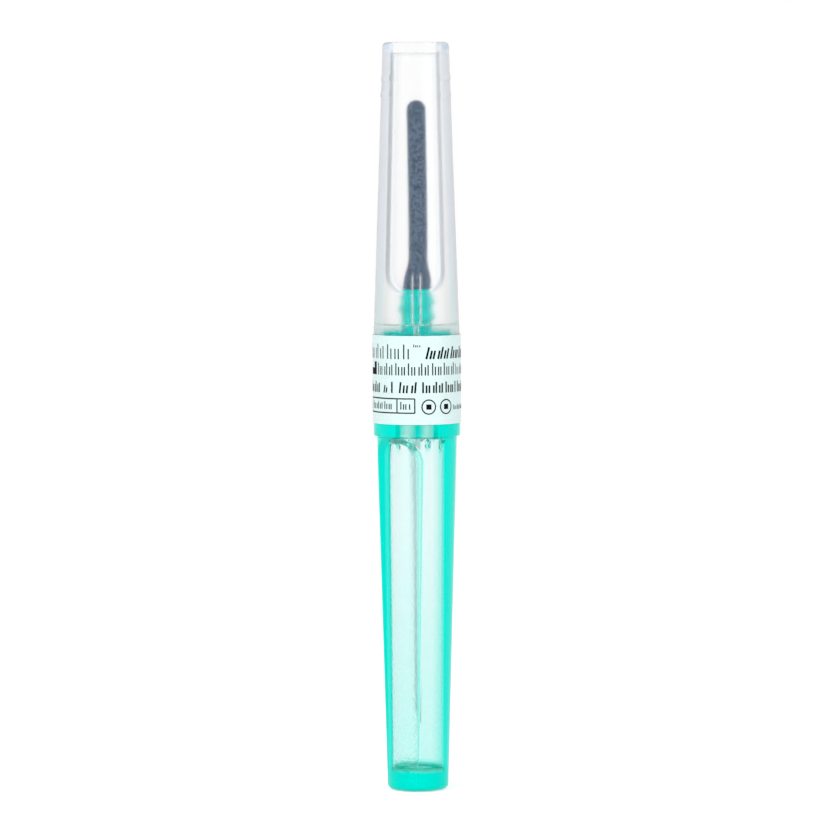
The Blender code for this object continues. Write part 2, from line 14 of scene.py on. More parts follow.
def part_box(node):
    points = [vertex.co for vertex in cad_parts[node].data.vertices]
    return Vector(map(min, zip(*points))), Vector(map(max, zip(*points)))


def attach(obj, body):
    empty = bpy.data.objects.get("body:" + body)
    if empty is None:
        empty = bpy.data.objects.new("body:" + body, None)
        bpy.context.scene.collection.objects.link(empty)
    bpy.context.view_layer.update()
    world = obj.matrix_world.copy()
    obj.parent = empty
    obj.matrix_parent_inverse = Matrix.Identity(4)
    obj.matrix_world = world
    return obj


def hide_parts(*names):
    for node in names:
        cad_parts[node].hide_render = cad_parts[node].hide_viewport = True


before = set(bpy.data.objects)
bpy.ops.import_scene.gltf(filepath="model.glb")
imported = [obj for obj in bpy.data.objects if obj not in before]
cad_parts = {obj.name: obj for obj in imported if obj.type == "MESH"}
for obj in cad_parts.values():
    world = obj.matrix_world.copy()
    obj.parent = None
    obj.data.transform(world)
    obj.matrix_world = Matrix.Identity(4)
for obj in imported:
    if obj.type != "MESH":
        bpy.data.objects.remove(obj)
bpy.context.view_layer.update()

# Studio
# A white sweep, lit softly from both front sides. Two grey cards stand behind the needle, left and right of
# the view, and give clear and tinted plastic its darker inner lines. The lens is long and a little high.
MM = 0.001
FRAME_WIDTH = 100.2 * MM
CAMERA_DISTANCE = 0.54
CAMERA_RISE, CAMERA_ROLL = math.radians(3.75), math.radians(-0.19)
CAMERA_AIM = Vector((0.07 * MM, 0.0, 44.75 * MM))
SENSOR_WIDTH = 36.0
FLOOR_SIZE, FLOOR_DROP = 0.8, 0.1 * MM
FLOOR_WHITE, FLOOR_GLOW = "#EDEDED", 0.50
ROOM_LIGHT, CARD_SHADE = 0.60, 0.06
# The cards' soft edges: degrees to the side from straight behind the needle, and steepness up and down
CARD_ANGLES = (43.0, 55.0, 68.0, 82.0)
CARD_HEIGHTS = (0.25, 0.45)
# Each lamp: its name, place, size and power
LAMPS = (("key_lamp", (-0.42, -0.50, 0.42), 0.40, 2.3), ("fill_lamp", (0.50, -0.46, 0.24), 0.46, 1.5))


def linear(hex_colour):
    """An sRGB hex colour as linear red, green, blue and alpha."""
    values = [int(hex_colour[i:i + 2], 16) / 255 for i in (1, 3, 5)]
    return (*[v / 12.92 if v <= 0.04045 else ((v + 0.055) / 1.055) ** 2.4 for v in values], 1.0)


def add_node(tree, kind, settings=None, links=None):
    """Adds a node, sets its properties and inputs, and links sockets, or nodes' first outputs, into it."""
    node = tree.nodes.new("ShaderNode" + kind)
    for key, value in (settings or {}).items():
        if isinstance(key, int) or key in node.inputs:
            node.inputs[key].default_value = value
        else:
            setattr(node, key, value)
    for key, source in (links or {}).items():
        socket = source.outputs[0] if isinstance(source, bpy.types.Node) else source
        tree.links.new(socket, node.inputs[key])
    return node


def new_material(name):
    """A new material, and its node tree with nothing in it yet."""
    material = bpy.data.materials.new(name)
    material.use_nodes = True
    material.node_tree.nodes.clear()
    return material, material.node_tree


def link_object(name, data):
    """A new object in the scene."""
    thing = bpy.data.objects.new(name, data)
    bpy.context.scene.collection.objects.link(thing)
    return thing


def seen_directly(tree):
    """1 for rays from the camera, mirrored rays and refracted rays, and 1 for the last two kinds alone."""
    path = add_node(tree, "LightPath")
    sharp = add_node(tree, "Math", {"operation": "MAXIMUM"},
                     {0: path.outputs["Is Glossy Ray"], 1: path.outputs["Is Transmission Ray"]})
    direct = add_node(tree, "Math", {"operation": "MAXIMUM"}, {0: sharp, 1: path.outputs["Is Camera Ray"]})
    return direct, sharp


camera_data = bpy.data.cameras.new("camera")
camera_data.sensor_width = SENSOR_WIDTH
camera_data.lens = SENSOR_WIDTH * CAMERA_DISTANCE / FRAME_WIDTH
camera = link_object("camera", camera_data)
back = Vector((0.0, -math.cos(CAMERA_RISE), math.sin(CAMERA_RISE)))
camera.location = CAMERA_AIM + back * CAMERA_DISTANCE
camera.rotation_mode = "QUATERNION"
camera.rotation_quaternion = (-back).to_track_quat("-Z", "Y") @ Quaternion((0, 0, 1), CAMERA_ROLL)
bpy.context.scene.camera = camera
bpy.context.scene.view_settings.view_transform = "Standard"

world = bpy.data.worlds.new("white_studio")
bpy.context.scene.world = world
world.use_nodes = True
tree = world.node_tree
tree.nodes.clear()
direct, sharp = seen_directly(tree)
coords = add_node(tree, "TexCoord")
axes = add_node(tree, "SeparateXYZ", {}, {0: coords.outputs["Generated"]})
bearing = add_node(tree, "Math", {"operation": "ARCTAN2"}, {0: axes.outputs["X"], 1: axes.outputs["Y"]})
aside = add_node(tree, "Math", {"operation": "ABSOLUTE"}, {0: bearing})
near_edge = add_node(tree, "MapRange", {"interpolation_type": "SMOOTHSTEP", 1: math.radians(CARD_ANGLES[0]),
                                        2: math.radians(CARD_ANGLES[1])}, {0: aside})
far_edge = add_node(tree, "MapRange", {"interpolation_type": "SMOOTHSTEP", 1: math.radians(CARD_ANGLES[2]),
                                       2: math.radians(CARD_ANGLES[3]), 3: 1.0, 4: 0.0}, {0: aside})
card_width = add_node(tree, "Math", {"operation": "MULTIPLY"}, {0: near_edge, 1: far_edge})
steep = add_node(tree, "Math", {"operation": "ABSOLUTE"}, {0: axes.outputs["Z"]})
card_height = add_node(tree, "MapRange", {"interpolation_type": "SMOOTHSTEP", 1: CARD_HEIGHTS[0],
                                          2: CARD_HEIGHTS[1], 3: 1.0, 4: 0.0}, {0: steep})
card = add_node(tree, "Math", {"operation": "MULTIPLY"}, {0: card_width, 1: card_height})
seen_card = add_node(tree, "Math", {"operation": "MULTIPLY"}, {0: card, 1: sharp})
shade = add_node(tree, "Math", {"operation": "MULTIPLY", 1: CARD_SHADE}, {0: seen_card})
backdrop = add_node(tree, "Math", {"operation": "SUBTRACT", 0: 1.0}, {1: shade})
level = add_node(tree, "Mix", {2: ROOM_LIGHT}, {0: direct, 3: backdrop})
glow = add_node(tree, "Background", {"Color": (1, 1, 1, 1)}, {"Strength": level})
add_node(tree, "OutputWorld", {}, {"Surface": glow})

half = FLOOR_SIZE / 2
floor_corners = [(x * half, y * half, -FLOOR_DROP) for x, y in ((-1, -1), (1, -1), (1, 1), (-1, 1))]
floor_mesh = bpy.data.meshes.new("sweep")
floor_mesh.from_pydata(floor_corners, [], [(0, 1, 2, 3)])
floor = link_object("studio_floor", floor_mesh)
paint, tree = new_material("matt_white_sweep")
direct, sharp = seen_directly(tree)
matt = add_node(tree, "BsdfDiffuse", {"Color": linear(FLOOR_WHITE)})
seen = add_node(tree, "Math", {"operation": "MULTIPLY", 1: FLOOR_GLOW}, {0: direct})
shine = add_node(tree, "Emission", {"Color": (1, 1, 1, 1)}, {"Strength": seen})
lit = add_node(tree, "AddShader", {}, {0: matt, 1: shine})
pure_white = add_node(tree, "Emission", {"Color": (1, 1, 1, 1)})
mixed = add_node(tree, "MixShader", {}, {0: sharp, 1: lit, 2: pure_white})
add_node(tree, "OutputMaterial", {}, {"Surface": mixed})
floor.data.materials.append(paint)

for name, place, size, power in LAMPS:
    lamp_data = bpy.data.lights.new(name, "AREA")
    lamp_data.size = size
    lamp_data.energy = power
    lamp = link_object(name, lamp_data)
    lamp.location = place
    lamp.rotation_euler = (CAMERA_AIM - Vector(place)).to_track_quat("-Z", "Y").to_euler()

# Front cap
# The long shield over the patient's needle: one moulding in translucent teal polypropylene, tapered, with
# two sunk grip panels, a collar, a plain spigot that the clear cap slides over, and splines in its mouth.
FRONT_SEGMENT = math.radians(2.2)
FRONT_END_R, FRONT_TOP_R = 3.65 * MM, 4.79 * MM
FRONT_FLOOR_END_R, FRONT_FLOOR_TOP_R = 3.63 * MM, 4.08 * MM
COLLAR_Z, SHOULDER_Z, RIM_Z = 42.62 * MM, 49.02 * MM, 53.97 * MM
COLLAR_R, SPIGOT_R = 5.18 * MM, 4.45 * MM
FRONT_END_ROUND, COLLAR_ROUND, SHOULDER_ROUND, RIM_CHAMFER = 0.6 * MM, 0.18 * MM, 0.08 * MM, 0.15 * MM
GATE_R, GATE_DEPTH, GATE_EDGE, FOOT_R = 0.5 * MM, 0.12 * MM, 0.1 * MM, 1.6 * MM
NECK_DROP, NECK_FILLET = 0.04 * MM, 0.03 * MM
CAP_FLOOR_Z, BOSS_TOP_Z = 1.72 * MM, 2.52 * MM
BOSS_R, BORE_END_R, BORE_FLARE_R, MOUTH_R = 1.70 * MM, 3.00 * MM, 3.22 * MM, 3.57 * MM
FLOOR_ROUND, BOSS_FOOT, BOSS_ROUND = 0.4 * MM, 0.1 * MM, 0.15 * MM
FLARE_Z, FLARE_LENGTH, FLARE_STEPS = 40.82 * MM, 1.6 * MM, 8
SPLINE_COUNT, SPLINE_PHASE = 12, math.radians(-10.0)
SPLINE_CREST, SPLINE_ROOT, SPLINE_LEAD = 0.30 * MM, 0.72 * MM, 0.6 * MM
SPLINE_HEIGHT = MOUTH_R - BORE_FLARE_R
FRONT_PANEL_HALF, FRONT_PANEL_CORNER, FRONT_PANEL_MARGIN = math.radians(38.0), 2.3 * MM, 0.12 * MM
PANEL_EDGE_ROUND, SOFTEST_EDGE, LEAST_DEPTH = 0.07 * MM, 0.35, 0.01 * MM
# Where points lie close together across a panel's sloped side, in degrees outward from its edge
FLANK_STEPS = (-1.2, -0.4, 0.0, 0.35, 0.7, 1.1, 1.6, 2.2, 2.9, 3.7, 4.6, 5.6, 6.7, 7.9, 9.2)
SKIN_STEP, ARCH_STEP, BORE_STEP = 0.7 * MM, 0.1 * MM, 1.6 * MM
OUTSIDE = (0.0, 0.0, 1.0)


def between(start, end, share):
    """The value a share of the way from start to end."""
    return start + (end - start) * share


def spot(radius, angle, z):
    """A point at an angle about the needle."""
    return (radius * math.sin(angle), -radius * math.cos(angle), z)


def soft_ramp(value, rounding):
    """0 below 0 and 1 above 1, with both corners rounded."""
    def area(v):
        return 0.0 if v < 0 else (v * v / 2 if v < 1 else v - 0.5)
    return (area(value + rounding) - area(value - rounding)) / (2 * rounding)


def quarter_round(centre, radius, start, end, steps):
    """Points (radius, z) round an edge in section, the angles in degrees from outward to up."""
    turns = [math.radians(between(start, end, i / steps)) for i in range(steps + 1)]
    return [(centre[0] + radius * math.cos(a), centre[1] + radius * math.sin(a)) for a in turns]


def spaced(start, end, gap):
    """Evenly spaced values from start up to just before end, about a gap apart."""
    count = max(1, round(abs(end - start) / gap))
    return [between(start, end, i / count) for i in range(count)]


def full_turn(marks, gap):
    """Sorted angles round a full turn: the marks, and others that fill the gaps between them."""
    marks = sorted({round(mark % math.tau, 7) for mark in marks})
    angles = []
    for near, far in zip(marks, marks[1:] + [marks[0] + math.tau]):
        angles += spaced(near, far, gap)
    return sorted(angle % math.tau for angle in angles)


def panel_marks(panels):
    """Angles that lie close together along the sloped sides of each sunk panel."""
    return [panel["facing"] + side * (panel["half_angle"] + math.radians(step))
            for panel in panels for side in (-1, 1) for step in FLANK_STEPS]


def sunk_share(angle, z, panels):
    """How far a cap's side is sunk at a place: 1 on a panel's floor, 0 on the ribs."""
    sunk = 0.0
    for panel in panels:
        floor_radius = panel["floor"](z)
        depth = max(panel["skin"](z) - floor_radius, LEAST_DEPTH)
        off = (angle - panel["facing"] + math.pi) % math.tau - math.pi
        half_width = panel["half_angle"] * floor_radius
        across = abs(off) * floor_radius
        inside = panel["way"] * (z - panel["end_z"])
        corner = panel["corner"]
        side, up = across - (half_width - corner), corner - inside
        if up <= 0:
            outside = across - half_width
        elif side > 0:
            outside = math.hypot(side, up) - corner
        else:
            outside = -inside
        rounding = min(SOFTEST_EDGE, PANEL_EDGE_ROUND / depth)
        sunk = max(sunk, 1 - soft_ramp(outside / depth, rounding))
    return sunk


def solid_mesh(name, points, faces):
    """A closed mesh with its faces turned outward."""
    mesh = bpy.data.meshes.new(name)
    mesh.from_pydata(points, [], faces)
    shape = bmesh.new()
    shape.from_mesh(mesh)
    bmesh.ops.recalc_face_normals(shape, faces=shape.faces)
    shape.to_mesh(mesh)
    shape.free()
    return mesh


def ring_mesh(name, rings, closed=False, sharp_angle=35.0):
    """A closed mesh through rings (angles, points, surfaces). Unlike rings are sewn with triangles.

    A point's surface is kept on the mesh for the material: how far it lies on a panel's floor, how far on
    an edge between two levels, and 1 for the outside."""
    points, faces, values, spans = [], [], [], []
    for angles, places, marks in rings:
        spans.append((angles, list(range(len(points), len(points) + len(places)))))
        points += places
        values += marks
    pairs = list(zip(spans, spans[1:]))
    if closed:
        pairs.append((spans[-1], spans[0]))
    else:
        faces += [spans[0][1], spans[-1][1]]
    for (low_angles, low), (high_angles, high) in pairs:
        if len(low) == len(high):
            faces += [(low[i - 1], low[i], high[i], high[i - 1]) for i in range(len(low))]
            continue
        i = j = 0
        while i < len(low) or j < len(high):
            low_next = low_angles[i + 1] if i + 1 < len(low) else math.tau + low_angles[0]
            high_next = high_angles[j + 1] if j + 1 < len(high) else math.tau + high_angles[0]
            low_here, high_here = low[i % len(low)], high[j % len(high)]
            if i < len(low) and (j == len(high) or low_next <= high_next):
                faces.append((low_here, low[(i + 1) % len(low)], high_here))
                i += 1
            else:
                faces.append((low_here, high[(j + 1) % len(high)], high_here))
                j += 1
    mesh = solid_mesh(name, points, faces)
    flat_values = [value for surface in values for value in surface]
    mesh.attributes.new("surface", "FLOAT_VECTOR", "POINT").data.foreach_set("vector", flat_values)
    mesh.shade_smooth()
    mesh.set_sharp_from_angle(angle=math.radians(sharp_angle))
    return mesh


def even_ring(angles, points, surface=(0.0, 0.0, 0.0)):
    """A ring of points with the same surface all round."""
    return angles, points, [surface] * len(points)


def plain_ring(angles, radius, z, surface=(0.0, 0.0, 0.0)):
    """A round ring."""
    return even_ring(angles, [spot(radius, a, z) for a in angles], surface)


def sunk_ring(angles, radius, z, panels):
    """A ring of a cap's outside, with the sunk panels in it."""
    shares = [sunk_share(a, z, panels) for a in angles]
    radii = [radius - share * max(0.0, radius - panels[0]["floor"](z)) for share in shares]
    surfaces = [(share, 4 * share * (1 - share), 1.0) for share in shares]
    return angles, [spot(r, a, z) for r, a in zip(radii, angles)], surfaces


def front_skin(z):
    """The front cap's outer radius below the collar."""
    return between(FRONT_END_R, FRONT_TOP_R, z / COLLAR_Z)


def front_floor(z):
    """The radius of the front cap's panel floor."""
    return between(FRONT_FLOOR_END_R, FRONT_FLOOR_TOP_R, z / COLLAR_Z)


front_panel_end = COLLAR_Z - FRONT_PANEL_MARGIN - (FRONT_TOP_R - FRONT_FLOOR_TOP_R)
front_panels = [{"facing": math.radians(facing), "half_angle": FRONT_PANEL_HALF, "way": -1,
                 "corner": FRONT_PANEL_CORNER, "end_z": front_panel_end, "floor": front_floor,
                 "skin": front_skin} for facing in (-38.0, 142.0)]
outer_angles = full_turn(panel_marks(front_panels), FRONT_SEGMENT)
spline_step = math.tau / SPLINE_COUNT
crest_half, root_half = SPLINE_CREST / 2 / BORE_FLARE_R, SPLINE_ROOT / 2 / MOUTH_R
spline_marks = (crest_half, (crest_half + root_half) / 2, root_half)
inner_angles = full_turn([SPLINE_PHASE + k * spline_step + side * edge for k in range(SPLINE_COUNT)
                          for side in (-1, 1) for edge in spline_marks], FRONT_SEGMENT)


def splined_ring(radius, z, crest_radius):
    """A ring of the front cap's mouth, with the splines standing in to the crest radius."""
    points, surfaces = [], []
    standing = min(1.0, (radius - crest_radius) / SPLINE_HEIGHT)
    for angle in inner_angles:
        off = abs((angle - SPLINE_PHASE + spline_step / 2) % spline_step - spline_step / 2)
        share = 1 - soft_ramp((off - crest_half) / (root_half - crest_half), 0.25)
        points.append(spot(between(radius, crest_radius, share), angle, z))
        surfaces.append((0.0, standing * share, 0.0))
    return inner_angles, points, surfaces


end_corner = (front_skin(FRONT_END_ROUND) - FRONT_END_ROUND, FRONT_END_ROUND)
arch_z = front_panel_end - FRONT_PANEL_CORNER
outline = [(GATE_R, GATE_DEPTH), (GATE_R + GATE_EDGE, 0.0), (FOOT_R, 0.0)]
outline += quarter_round(end_corner, FRONT_END_ROUND, -90, 0, 8)
outline += [(front_skin(z), z) for z in spaced(1.5 * FRONT_END_ROUND, arch_z, SKIN_STEP)]
outline += [(front_skin(z), z) for z in spaced(arch_z, COLLAR_Z - ARCH_STEP, ARCH_STEP)]
outline += [(FRONT_TOP_R, COLLAR_Z - NECK_DROP), (FRONT_TOP_R + NECK_FILLET, COLLAR_Z)]
outline += quarter_round((COLLAR_R - COLLAR_ROUND, COLLAR_Z + COLLAR_ROUND), COLLAR_ROUND, -90, 0, 4)
outline += quarter_round((COLLAR_R - SHOULDER_ROUND, SHOULDER_Z - SHOULDER_ROUND), SHOULDER_ROUND, 0, 90, 3)
outline += [(SPIGOT_R, SHOULDER_Z), (SPIGOT_R, RIM_Z - RIM_CHAMFER), (SPIGOT_R - RIM_CHAMFER, RIM_Z)]
rings = [sunk_ring(outer_angles, r, z, front_panels) if z < COLLAR_Z - NECK_DROP / 2
         else plain_ring(outer_angles, r, z, OUTSIDE) for r, z in outline]
rings.append(splined_ring(MOUTH_R + RIM_CHAMFER, RIM_Z, MOUTH_R + RIM_CHAMFER))
for z, reach in ((RIM_Z - RIM_CHAMFER, 0.0), (RIM_Z - SPLINE_LEAD, 0.0), (RIM_Z - 1.5 * SPLINE_LEAD, 0.5),
                 (RIM_Z - 2 * SPLINE_LEAD, 1.0), (between(FLARE_Z, RIM_Z, 0.5), 1.0)):
    rings.append(splined_ring(MOUTH_R, z, between(MOUTH_R, BORE_FLARE_R, reach)))
for i in range(FLARE_STEPS + 1):
    share = 1 - i / FLARE_STEPS
    radius = between(BORE_FLARE_R, MOUTH_R, soft_ramp(share, 0.2))
    rings.append(splined_ring(radius, FLARE_Z + FLARE_LENGTH * share, BORE_FLARE_R))
floor_corner = (BORE_END_R - FLOOR_ROUND, CAP_FLOOR_Z + FLOOR_ROUND)
for z in spaced(FLARE_Z - BORE_STEP / 2, CAP_FLOOR_Z + FLOOR_ROUND, BORE_STEP):
    share = (z - CAP_FLOOR_Z) / (FLARE_Z - CAP_FLOOR_Z)
    rings.append(plain_ring(inner_angles, between(BORE_END_R, BORE_FLARE_R, share), z))
inner_end = quarter_round(floor_corner, FLOOR_ROUND, 0, -90, 6)
inner_end += [(BOSS_R + BOSS_FOOT, CAP_FLOOR_Z), (BOSS_R, CAP_FLOOR_Z + BOSS_FOOT)]
inner_end += quarter_round((BOSS_R - BOSS_ROUND, BOSS_TOP_Z - BOSS_ROUND), BOSS_ROUND, 0, 90, 4)
inner_end.append((BOSS_R / 2, BOSS_TOP_Z))
rings += [plain_ring(inner_angles, r, z) for r, z in inner_end]
front_mesh = ring_mesh("front_cap_shield", rings)
front_shield = link_object("front_cap_shield", front_mesh)


def beside_bore(tree, place, bore_low, bore_high):
    """How far to the side the eye looks through a place on a cap's wall, where 1 is the edge of the bore.

    The bore's lower and upper ends are each a height and a radius."""
    axes = add_node(tree, "SeparateXYZ", {}, {0: place})
    outward = add_node(tree, "CombineXYZ", {}, {0: axes.outputs["X"], 1: axes.outputs["Y"]})
    radius = add_node(tree, "VectorMath", {"operation": "LENGTH"}, {0: outward})
    facing = add_node(tree, "VectorTransform", {"vector_type": "NORMAL", "convert_from": "OBJECT",
                                                "convert_to": "WORLD"}, {0: outward})
    slant = add_node(tree, "LayerWeight", {"Blend": 0.5}, {"Normal": facing})
    towards = add_node(tree, "Math", {"operation": "SUBTRACT", 0: 1.0}, {1: slant.outputs["Facing"]})
    squared = add_node(tree, "Math", {"operation": "POWER", 1: 2.0}, {0: towards})
    rest = add_node(tree, "Math", {"operation": "SUBTRACT", 0: 1.0}, {1: squared})
    across = add_node(tree, "Math", {"operation": "SQRT"}, {0: rest})
    aside = add_node(tree, "Math", {"operation": "MULTIPLY"}, {0: across, 1: radius.outputs["Value"]})
    bore = add_node(tree, "MapRange", {1: bore_low[0], 2: bore_high[0], 3: bore_low[1], 4: bore_high[1]},
                    {0: axes.outputs["Z"]})
    return add_node(tree, "Math", {"operation": "DIVIDE"}, {0: aside, 1: bore})


# Moulded polypropylene with green-blue pigment: pale where the eye looks through two thin walls, and deep
# and dense past the bore's edge, where it looks along the wall, and in the solid end. The grip panels come
# out of a textured mould, so they show orange peel; the ribs are polished.
TEAL_PALE, TEAL_PALE_LOW, TEAL_DEEP = "#F9FFFF", "#E2FFFC", "#00F0DC"
TEAL_PIGMENT, TEAL_DENSITY = "#00FAF2", 30.0
TEAL_SHEEN, TEAL_GLOSS, POLYPROPYLENE_IOR = "#00FFF0", 0.12, 1.49
# Depth is how strongly the pigment colours a place; on the panels' sloped sides it paints lines of shade.
# Milk is how much it scatters light there.
EDGE_SHADE_DEPTH, BOSS_DEPTH, SPOT_DEPTH = 0.85, 0.4, 0.22
EDGE_MILK, SPLINE_MILK, BOSS_MILK, COLLAR_MILK, MILKIEST = 0.6, 0.12, 0.6, 0.6, 0.9
# Where the sideways fade to deep colour starts and ends, in radii of the bore
RIB_FADE, PANEL_FADE, COLLAR_FADE = 0.58, 0.95, -1.2
WALL_EDGE, COLLAR_EDGE, WALL_BLEND = 1.02, 0.75, (-0.05, 0.08)
SOLID_START, SOLID_MILK_START, SOLID_FULL = 3.3 * MM, 2.8 * MM, 2.2 * MM
COLLAR_BLEND, BOSS_BLEND = 0.2 * MM, 0.3 * MM
EDGE_LINE, EDGE_STRIP = 0.3, 0.6
CLOUD_SIZE, CLOUD_SHARE = 3.5 * MM, 0.25
LOWER_START, LOWER_FULL, LOWER_SHARE = 32.0 * MM, 2.0 * MM, 0.8
# The mould's texture is finer than shows at this size, so it is drawn coarser
PEEL_SIZE, PEEL_HEIGHT, PEEL_SPREAD = 0.32 * MM, 0.05 * MM, (0.56, 0.44)
PEEL_TOP, PEEL_FOOT, PEEL_LEAST, PEEL_MOST = 38.0 * MM, 8.0 * MM, 0.35, 0.90
STREAK_SIZE, STREAK_LENGTH, STREAK_SPREAD = 1.0 * MM, 20.0 * MM, (0.35, 0.65)
STREAK_DEPTH, WAVE_DEPTH = 0.2, 0.4
RIB_ROUGH, PANEL_ROUGH = 0.12, 0.24
teal, tree = new_material("moulded_teal_polypropylene")
coords = add_node(tree, "TexCoord")
axes = add_node(tree, "SeparateXYZ", {}, {0: coords.outputs["Object"]})
surface = add_node(tree, "Attribute", {"attribute_name": "surface"})
kinds = add_node(tree, "SeparateXYZ", {}, {0: surface.outputs["Vector"]})
panel, edge, outside = kinds.outputs

# The outer skin is deep and milky along the wall, in the solid end and on the collar.
beside = beside_bore(tree, coords.outputs["Object"], (CAP_FLOOR_Z, BORE_END_R), (FLARE_Z, BORE_FLARE_R))
at_collar = add_node(tree, "MapRange", {1: COLLAR_Z - COLLAR_BLEND, 2: COLLAR_Z}, {0: axes.outputs["Z"]})
side_fade = add_node(tree, "MapRange", {3: RIB_FADE, 4: PANEL_FADE}, {0: panel})
fade_start = add_node(tree, "Mix", {3: COLLAR_FADE}, {0: at_collar, 2: side_fade})
fade_end = add_node(tree, "MapRange", {3: WALL_EDGE, 4: COLLAR_EDGE}, {0: at_collar})
fade = add_node(tree, "MapRange", {}, {0: beside, 1: fade_start, 2: fade_end})
skin_depth = add_node(tree, "Math", {"operation": "MULTIPLY"}, {0: fade, 1: outside})
past_edge = add_node(tree, "Math", {"operation": "SUBTRACT"}, {0: beside, 1: fade_end})
along_wall = add_node(tree, "MapRange", {"interpolation_type": "SMOOTHSTEP", 1: WALL_BLEND[0],
                                         2: WALL_BLEND[1]}, {0: past_edge})
skin_milk = add_node(tree, "Math", {"operation": "MULTIPLY"}, {0: along_wall, 1: outside})
solid_depth = add_node(tree, "MapRange", {1: SOLID_START, 2: SOLID_FULL}, {0: axes.outputs["Z"]})
solid_milk = add_node(tree, "MapRange", {1: SOLID_MILK_START, 2: SOLID_FULL}, {0: axes.outputs["Z"]})
collar_skin = add_node(tree, "Math", {"operation": "MULTIPLY"}, {0: at_collar, 1: outside})
collar_milk = add_node(tree, "Math", {"operation": "MULTIPLY", 1: COLLAR_MILK}, {0: collar_skin})

# Inside, the floor and its boss are deep too.
near_floor = add_node(tree, "MapRange", {1: BOSS_TOP_Z + BOSS_BLEND, 2: CAP_FLOOR_Z}, {0: axes.outputs["Z"]})
lining = add_node(tree, "Math", {"operation": "SUBTRACT", 0: 1.0}, {1: outside})
boss = add_node(tree, "Math", {"operation": "MULTIPLY"}, {0: near_floor, 1: lining})
boss_depth = add_node(tree, "Math", {"operation": "MULTIPLY", 1: BOSS_DEPTH}, {0: boss})
boss_milk = add_node(tree, "Math", {"operation": "MULTIPLY", 1: BOSS_MILK}, {0: boss})

# A panel's sloped side shows two painted lines of shade, at its foot and at its crest, with a paler strip
# between them.
edge_rise = add_node(tree, "MapRange", {2: EDGE_LINE}, {0: edge})
edge_strip = add_node(tree, "MapRange", {1: 0.5, 2: 1.0, 3: EDGE_SHADE_DEPTH, 4: EDGE_STRIP * EDGE_SHADE_DEPTH},
                      {0: edge})
edge_shade_depth = add_node(tree, "Math", {"operation": "MULTIPLY"}, {0: edge_rise, 1: edge_strip})
edge_share = add_node(tree, "MapRange", {3: SPLINE_MILK, 4: EDGE_MILK}, {0: outside})
edge_milk = add_node(tree, "Math", {"operation": "MULTIPLY"}, {0: edge_shade_depth, 1: edge_share})
depth, milk = solid_depth, solid_milk
for more_depth in (skin_depth, boss_depth, edge_shade_depth):
    depth = add_node(tree, "Math", {"operation": "MAXIMUM"}, {0: depth, 1: more_depth})
for more_milk in (skin_milk, boss_milk, edge_milk, collar_milk):
    milk = add_node(tree, "Math", {"operation": "MAXIMUM"}, {0: milk, 1: more_milk})
clearness = add_node(tree, "MapRange", {3: 1.0, 4: 1 - MILKIEST}, {0: milk})

# Orange peel shows as deeper spots low on the panels. The collar has twelve soft streaks over its splines.
lower = add_node(tree, "MapRange", {1: LOWER_START, 2: LOWER_FULL, 4: LOWER_SHARE}, {0: axes.outputs["Z"]})
peel = add_node(tree, "TexNoise", {"Scale": 1 / PEEL_SIZE, "Detail": 1.0}, {0: coords.outputs["Object"]})
peel_spots = add_node(tree, "MapRange", {1: PEEL_SPREAD[0], 2: PEEL_SPREAD[1], 4: SPOT_DEPTH}, {0: peel})
peel_lower = add_node(tree, "Math", {"operation": "MULTIPLY"}, {0: lower, 1: panel})
spots = add_node(tree, "Math", {"operation": "MULTIPLY"}, {0: peel_spots, 1: peel_lower})
streak_place = add_node(tree, "Mapping", {"Scale": (1 / STREAK_SIZE, 1 / STREAK_SIZE, 1 / STREAK_LENGTH)},
                        {0: coords.outputs["Object"]})
streak = add_node(tree, "TexNoise", {"Scale": 1.0, "Detail": 2.0}, {0: streak_place})
uneven = add_node(tree, "MapRange", {1: STREAK_SPREAD[0], 2: STREAK_SPREAD[1], 3: -STREAK_DEPTH / 2,
                                     4: STREAK_DEPTH / 2}, {0: streak})
around = add_node(tree, "Math", {"operation": "ARCTAN2"}, {0: axes.outputs["X"], 1: axes.outputs["Y"]})
laps = add_node(tree, "Math", {"operation": "MULTIPLY", 1: SPLINE_COUNT}, {0: around})
wave = add_node(tree, "Math", {"operation": "COSINE"}, {0: laps})
streak_depth = add_node(tree, "Math", {"operation": "MULTIPLY_ADD", 1: WAVE_DEPTH}, {0: wave, 2: uneven})
clear_of_wall = add_node(tree, "Math", {"operation": "SUBTRACT", "use_clamp": True},
                         {0: collar_skin, 1: along_wall})
marks = add_node(tree, "Math", {"operation": "MULTIPLY_ADD"}, {0: streak_depth, 1: clear_of_wall, 2: spots})
marked_depth = add_node(tree, "Math", {"operation": "ADD", "use_clamp": True}, {0: depth, 1: marks})

cloud = add_node(tree, "TexNoise", {"Scale": 1 / CLOUD_SIZE, "Detail": 2.0}, {0: coords.outputs["Object"]})
patchy = add_node(tree, "Math", {"operation": "MULTIPLY_ADD", 1: CLOUD_SHARE}, {0: cloud, 2: lower})
pale = add_node(tree, "Mix", {"data_type": "RGBA", 6: linear(TEAL_PALE), 7: linear(TEAL_PALE_LOW)},
                {0: patchy})
tint = add_node(tree, "Mix", {"data_type": "RGBA", 7: linear(TEAL_DEEP)},
                {0: marked_depth, 6: pale.outputs[2]})
peel_height = add_node(tree, "Math", {"operation": "MULTIPLY"}, {0: peel, 1: panel})
peel_strength = add_node(tree, "MapRange", {1: PEEL_TOP, 2: PEEL_FOOT, 3: PEEL_LEAST, 4: PEEL_MOST},
                         {0: axes.outputs["Z"]})
bump = add_node(tree, "Bump", {"Distance": PEEL_HEIGHT}, {"Height": peel_height, "Strength": peel_strength})
rough = add_node(tree, "MapRange", {3: RIB_ROUGH, 4: PANEL_ROUGH}, {0: panel})
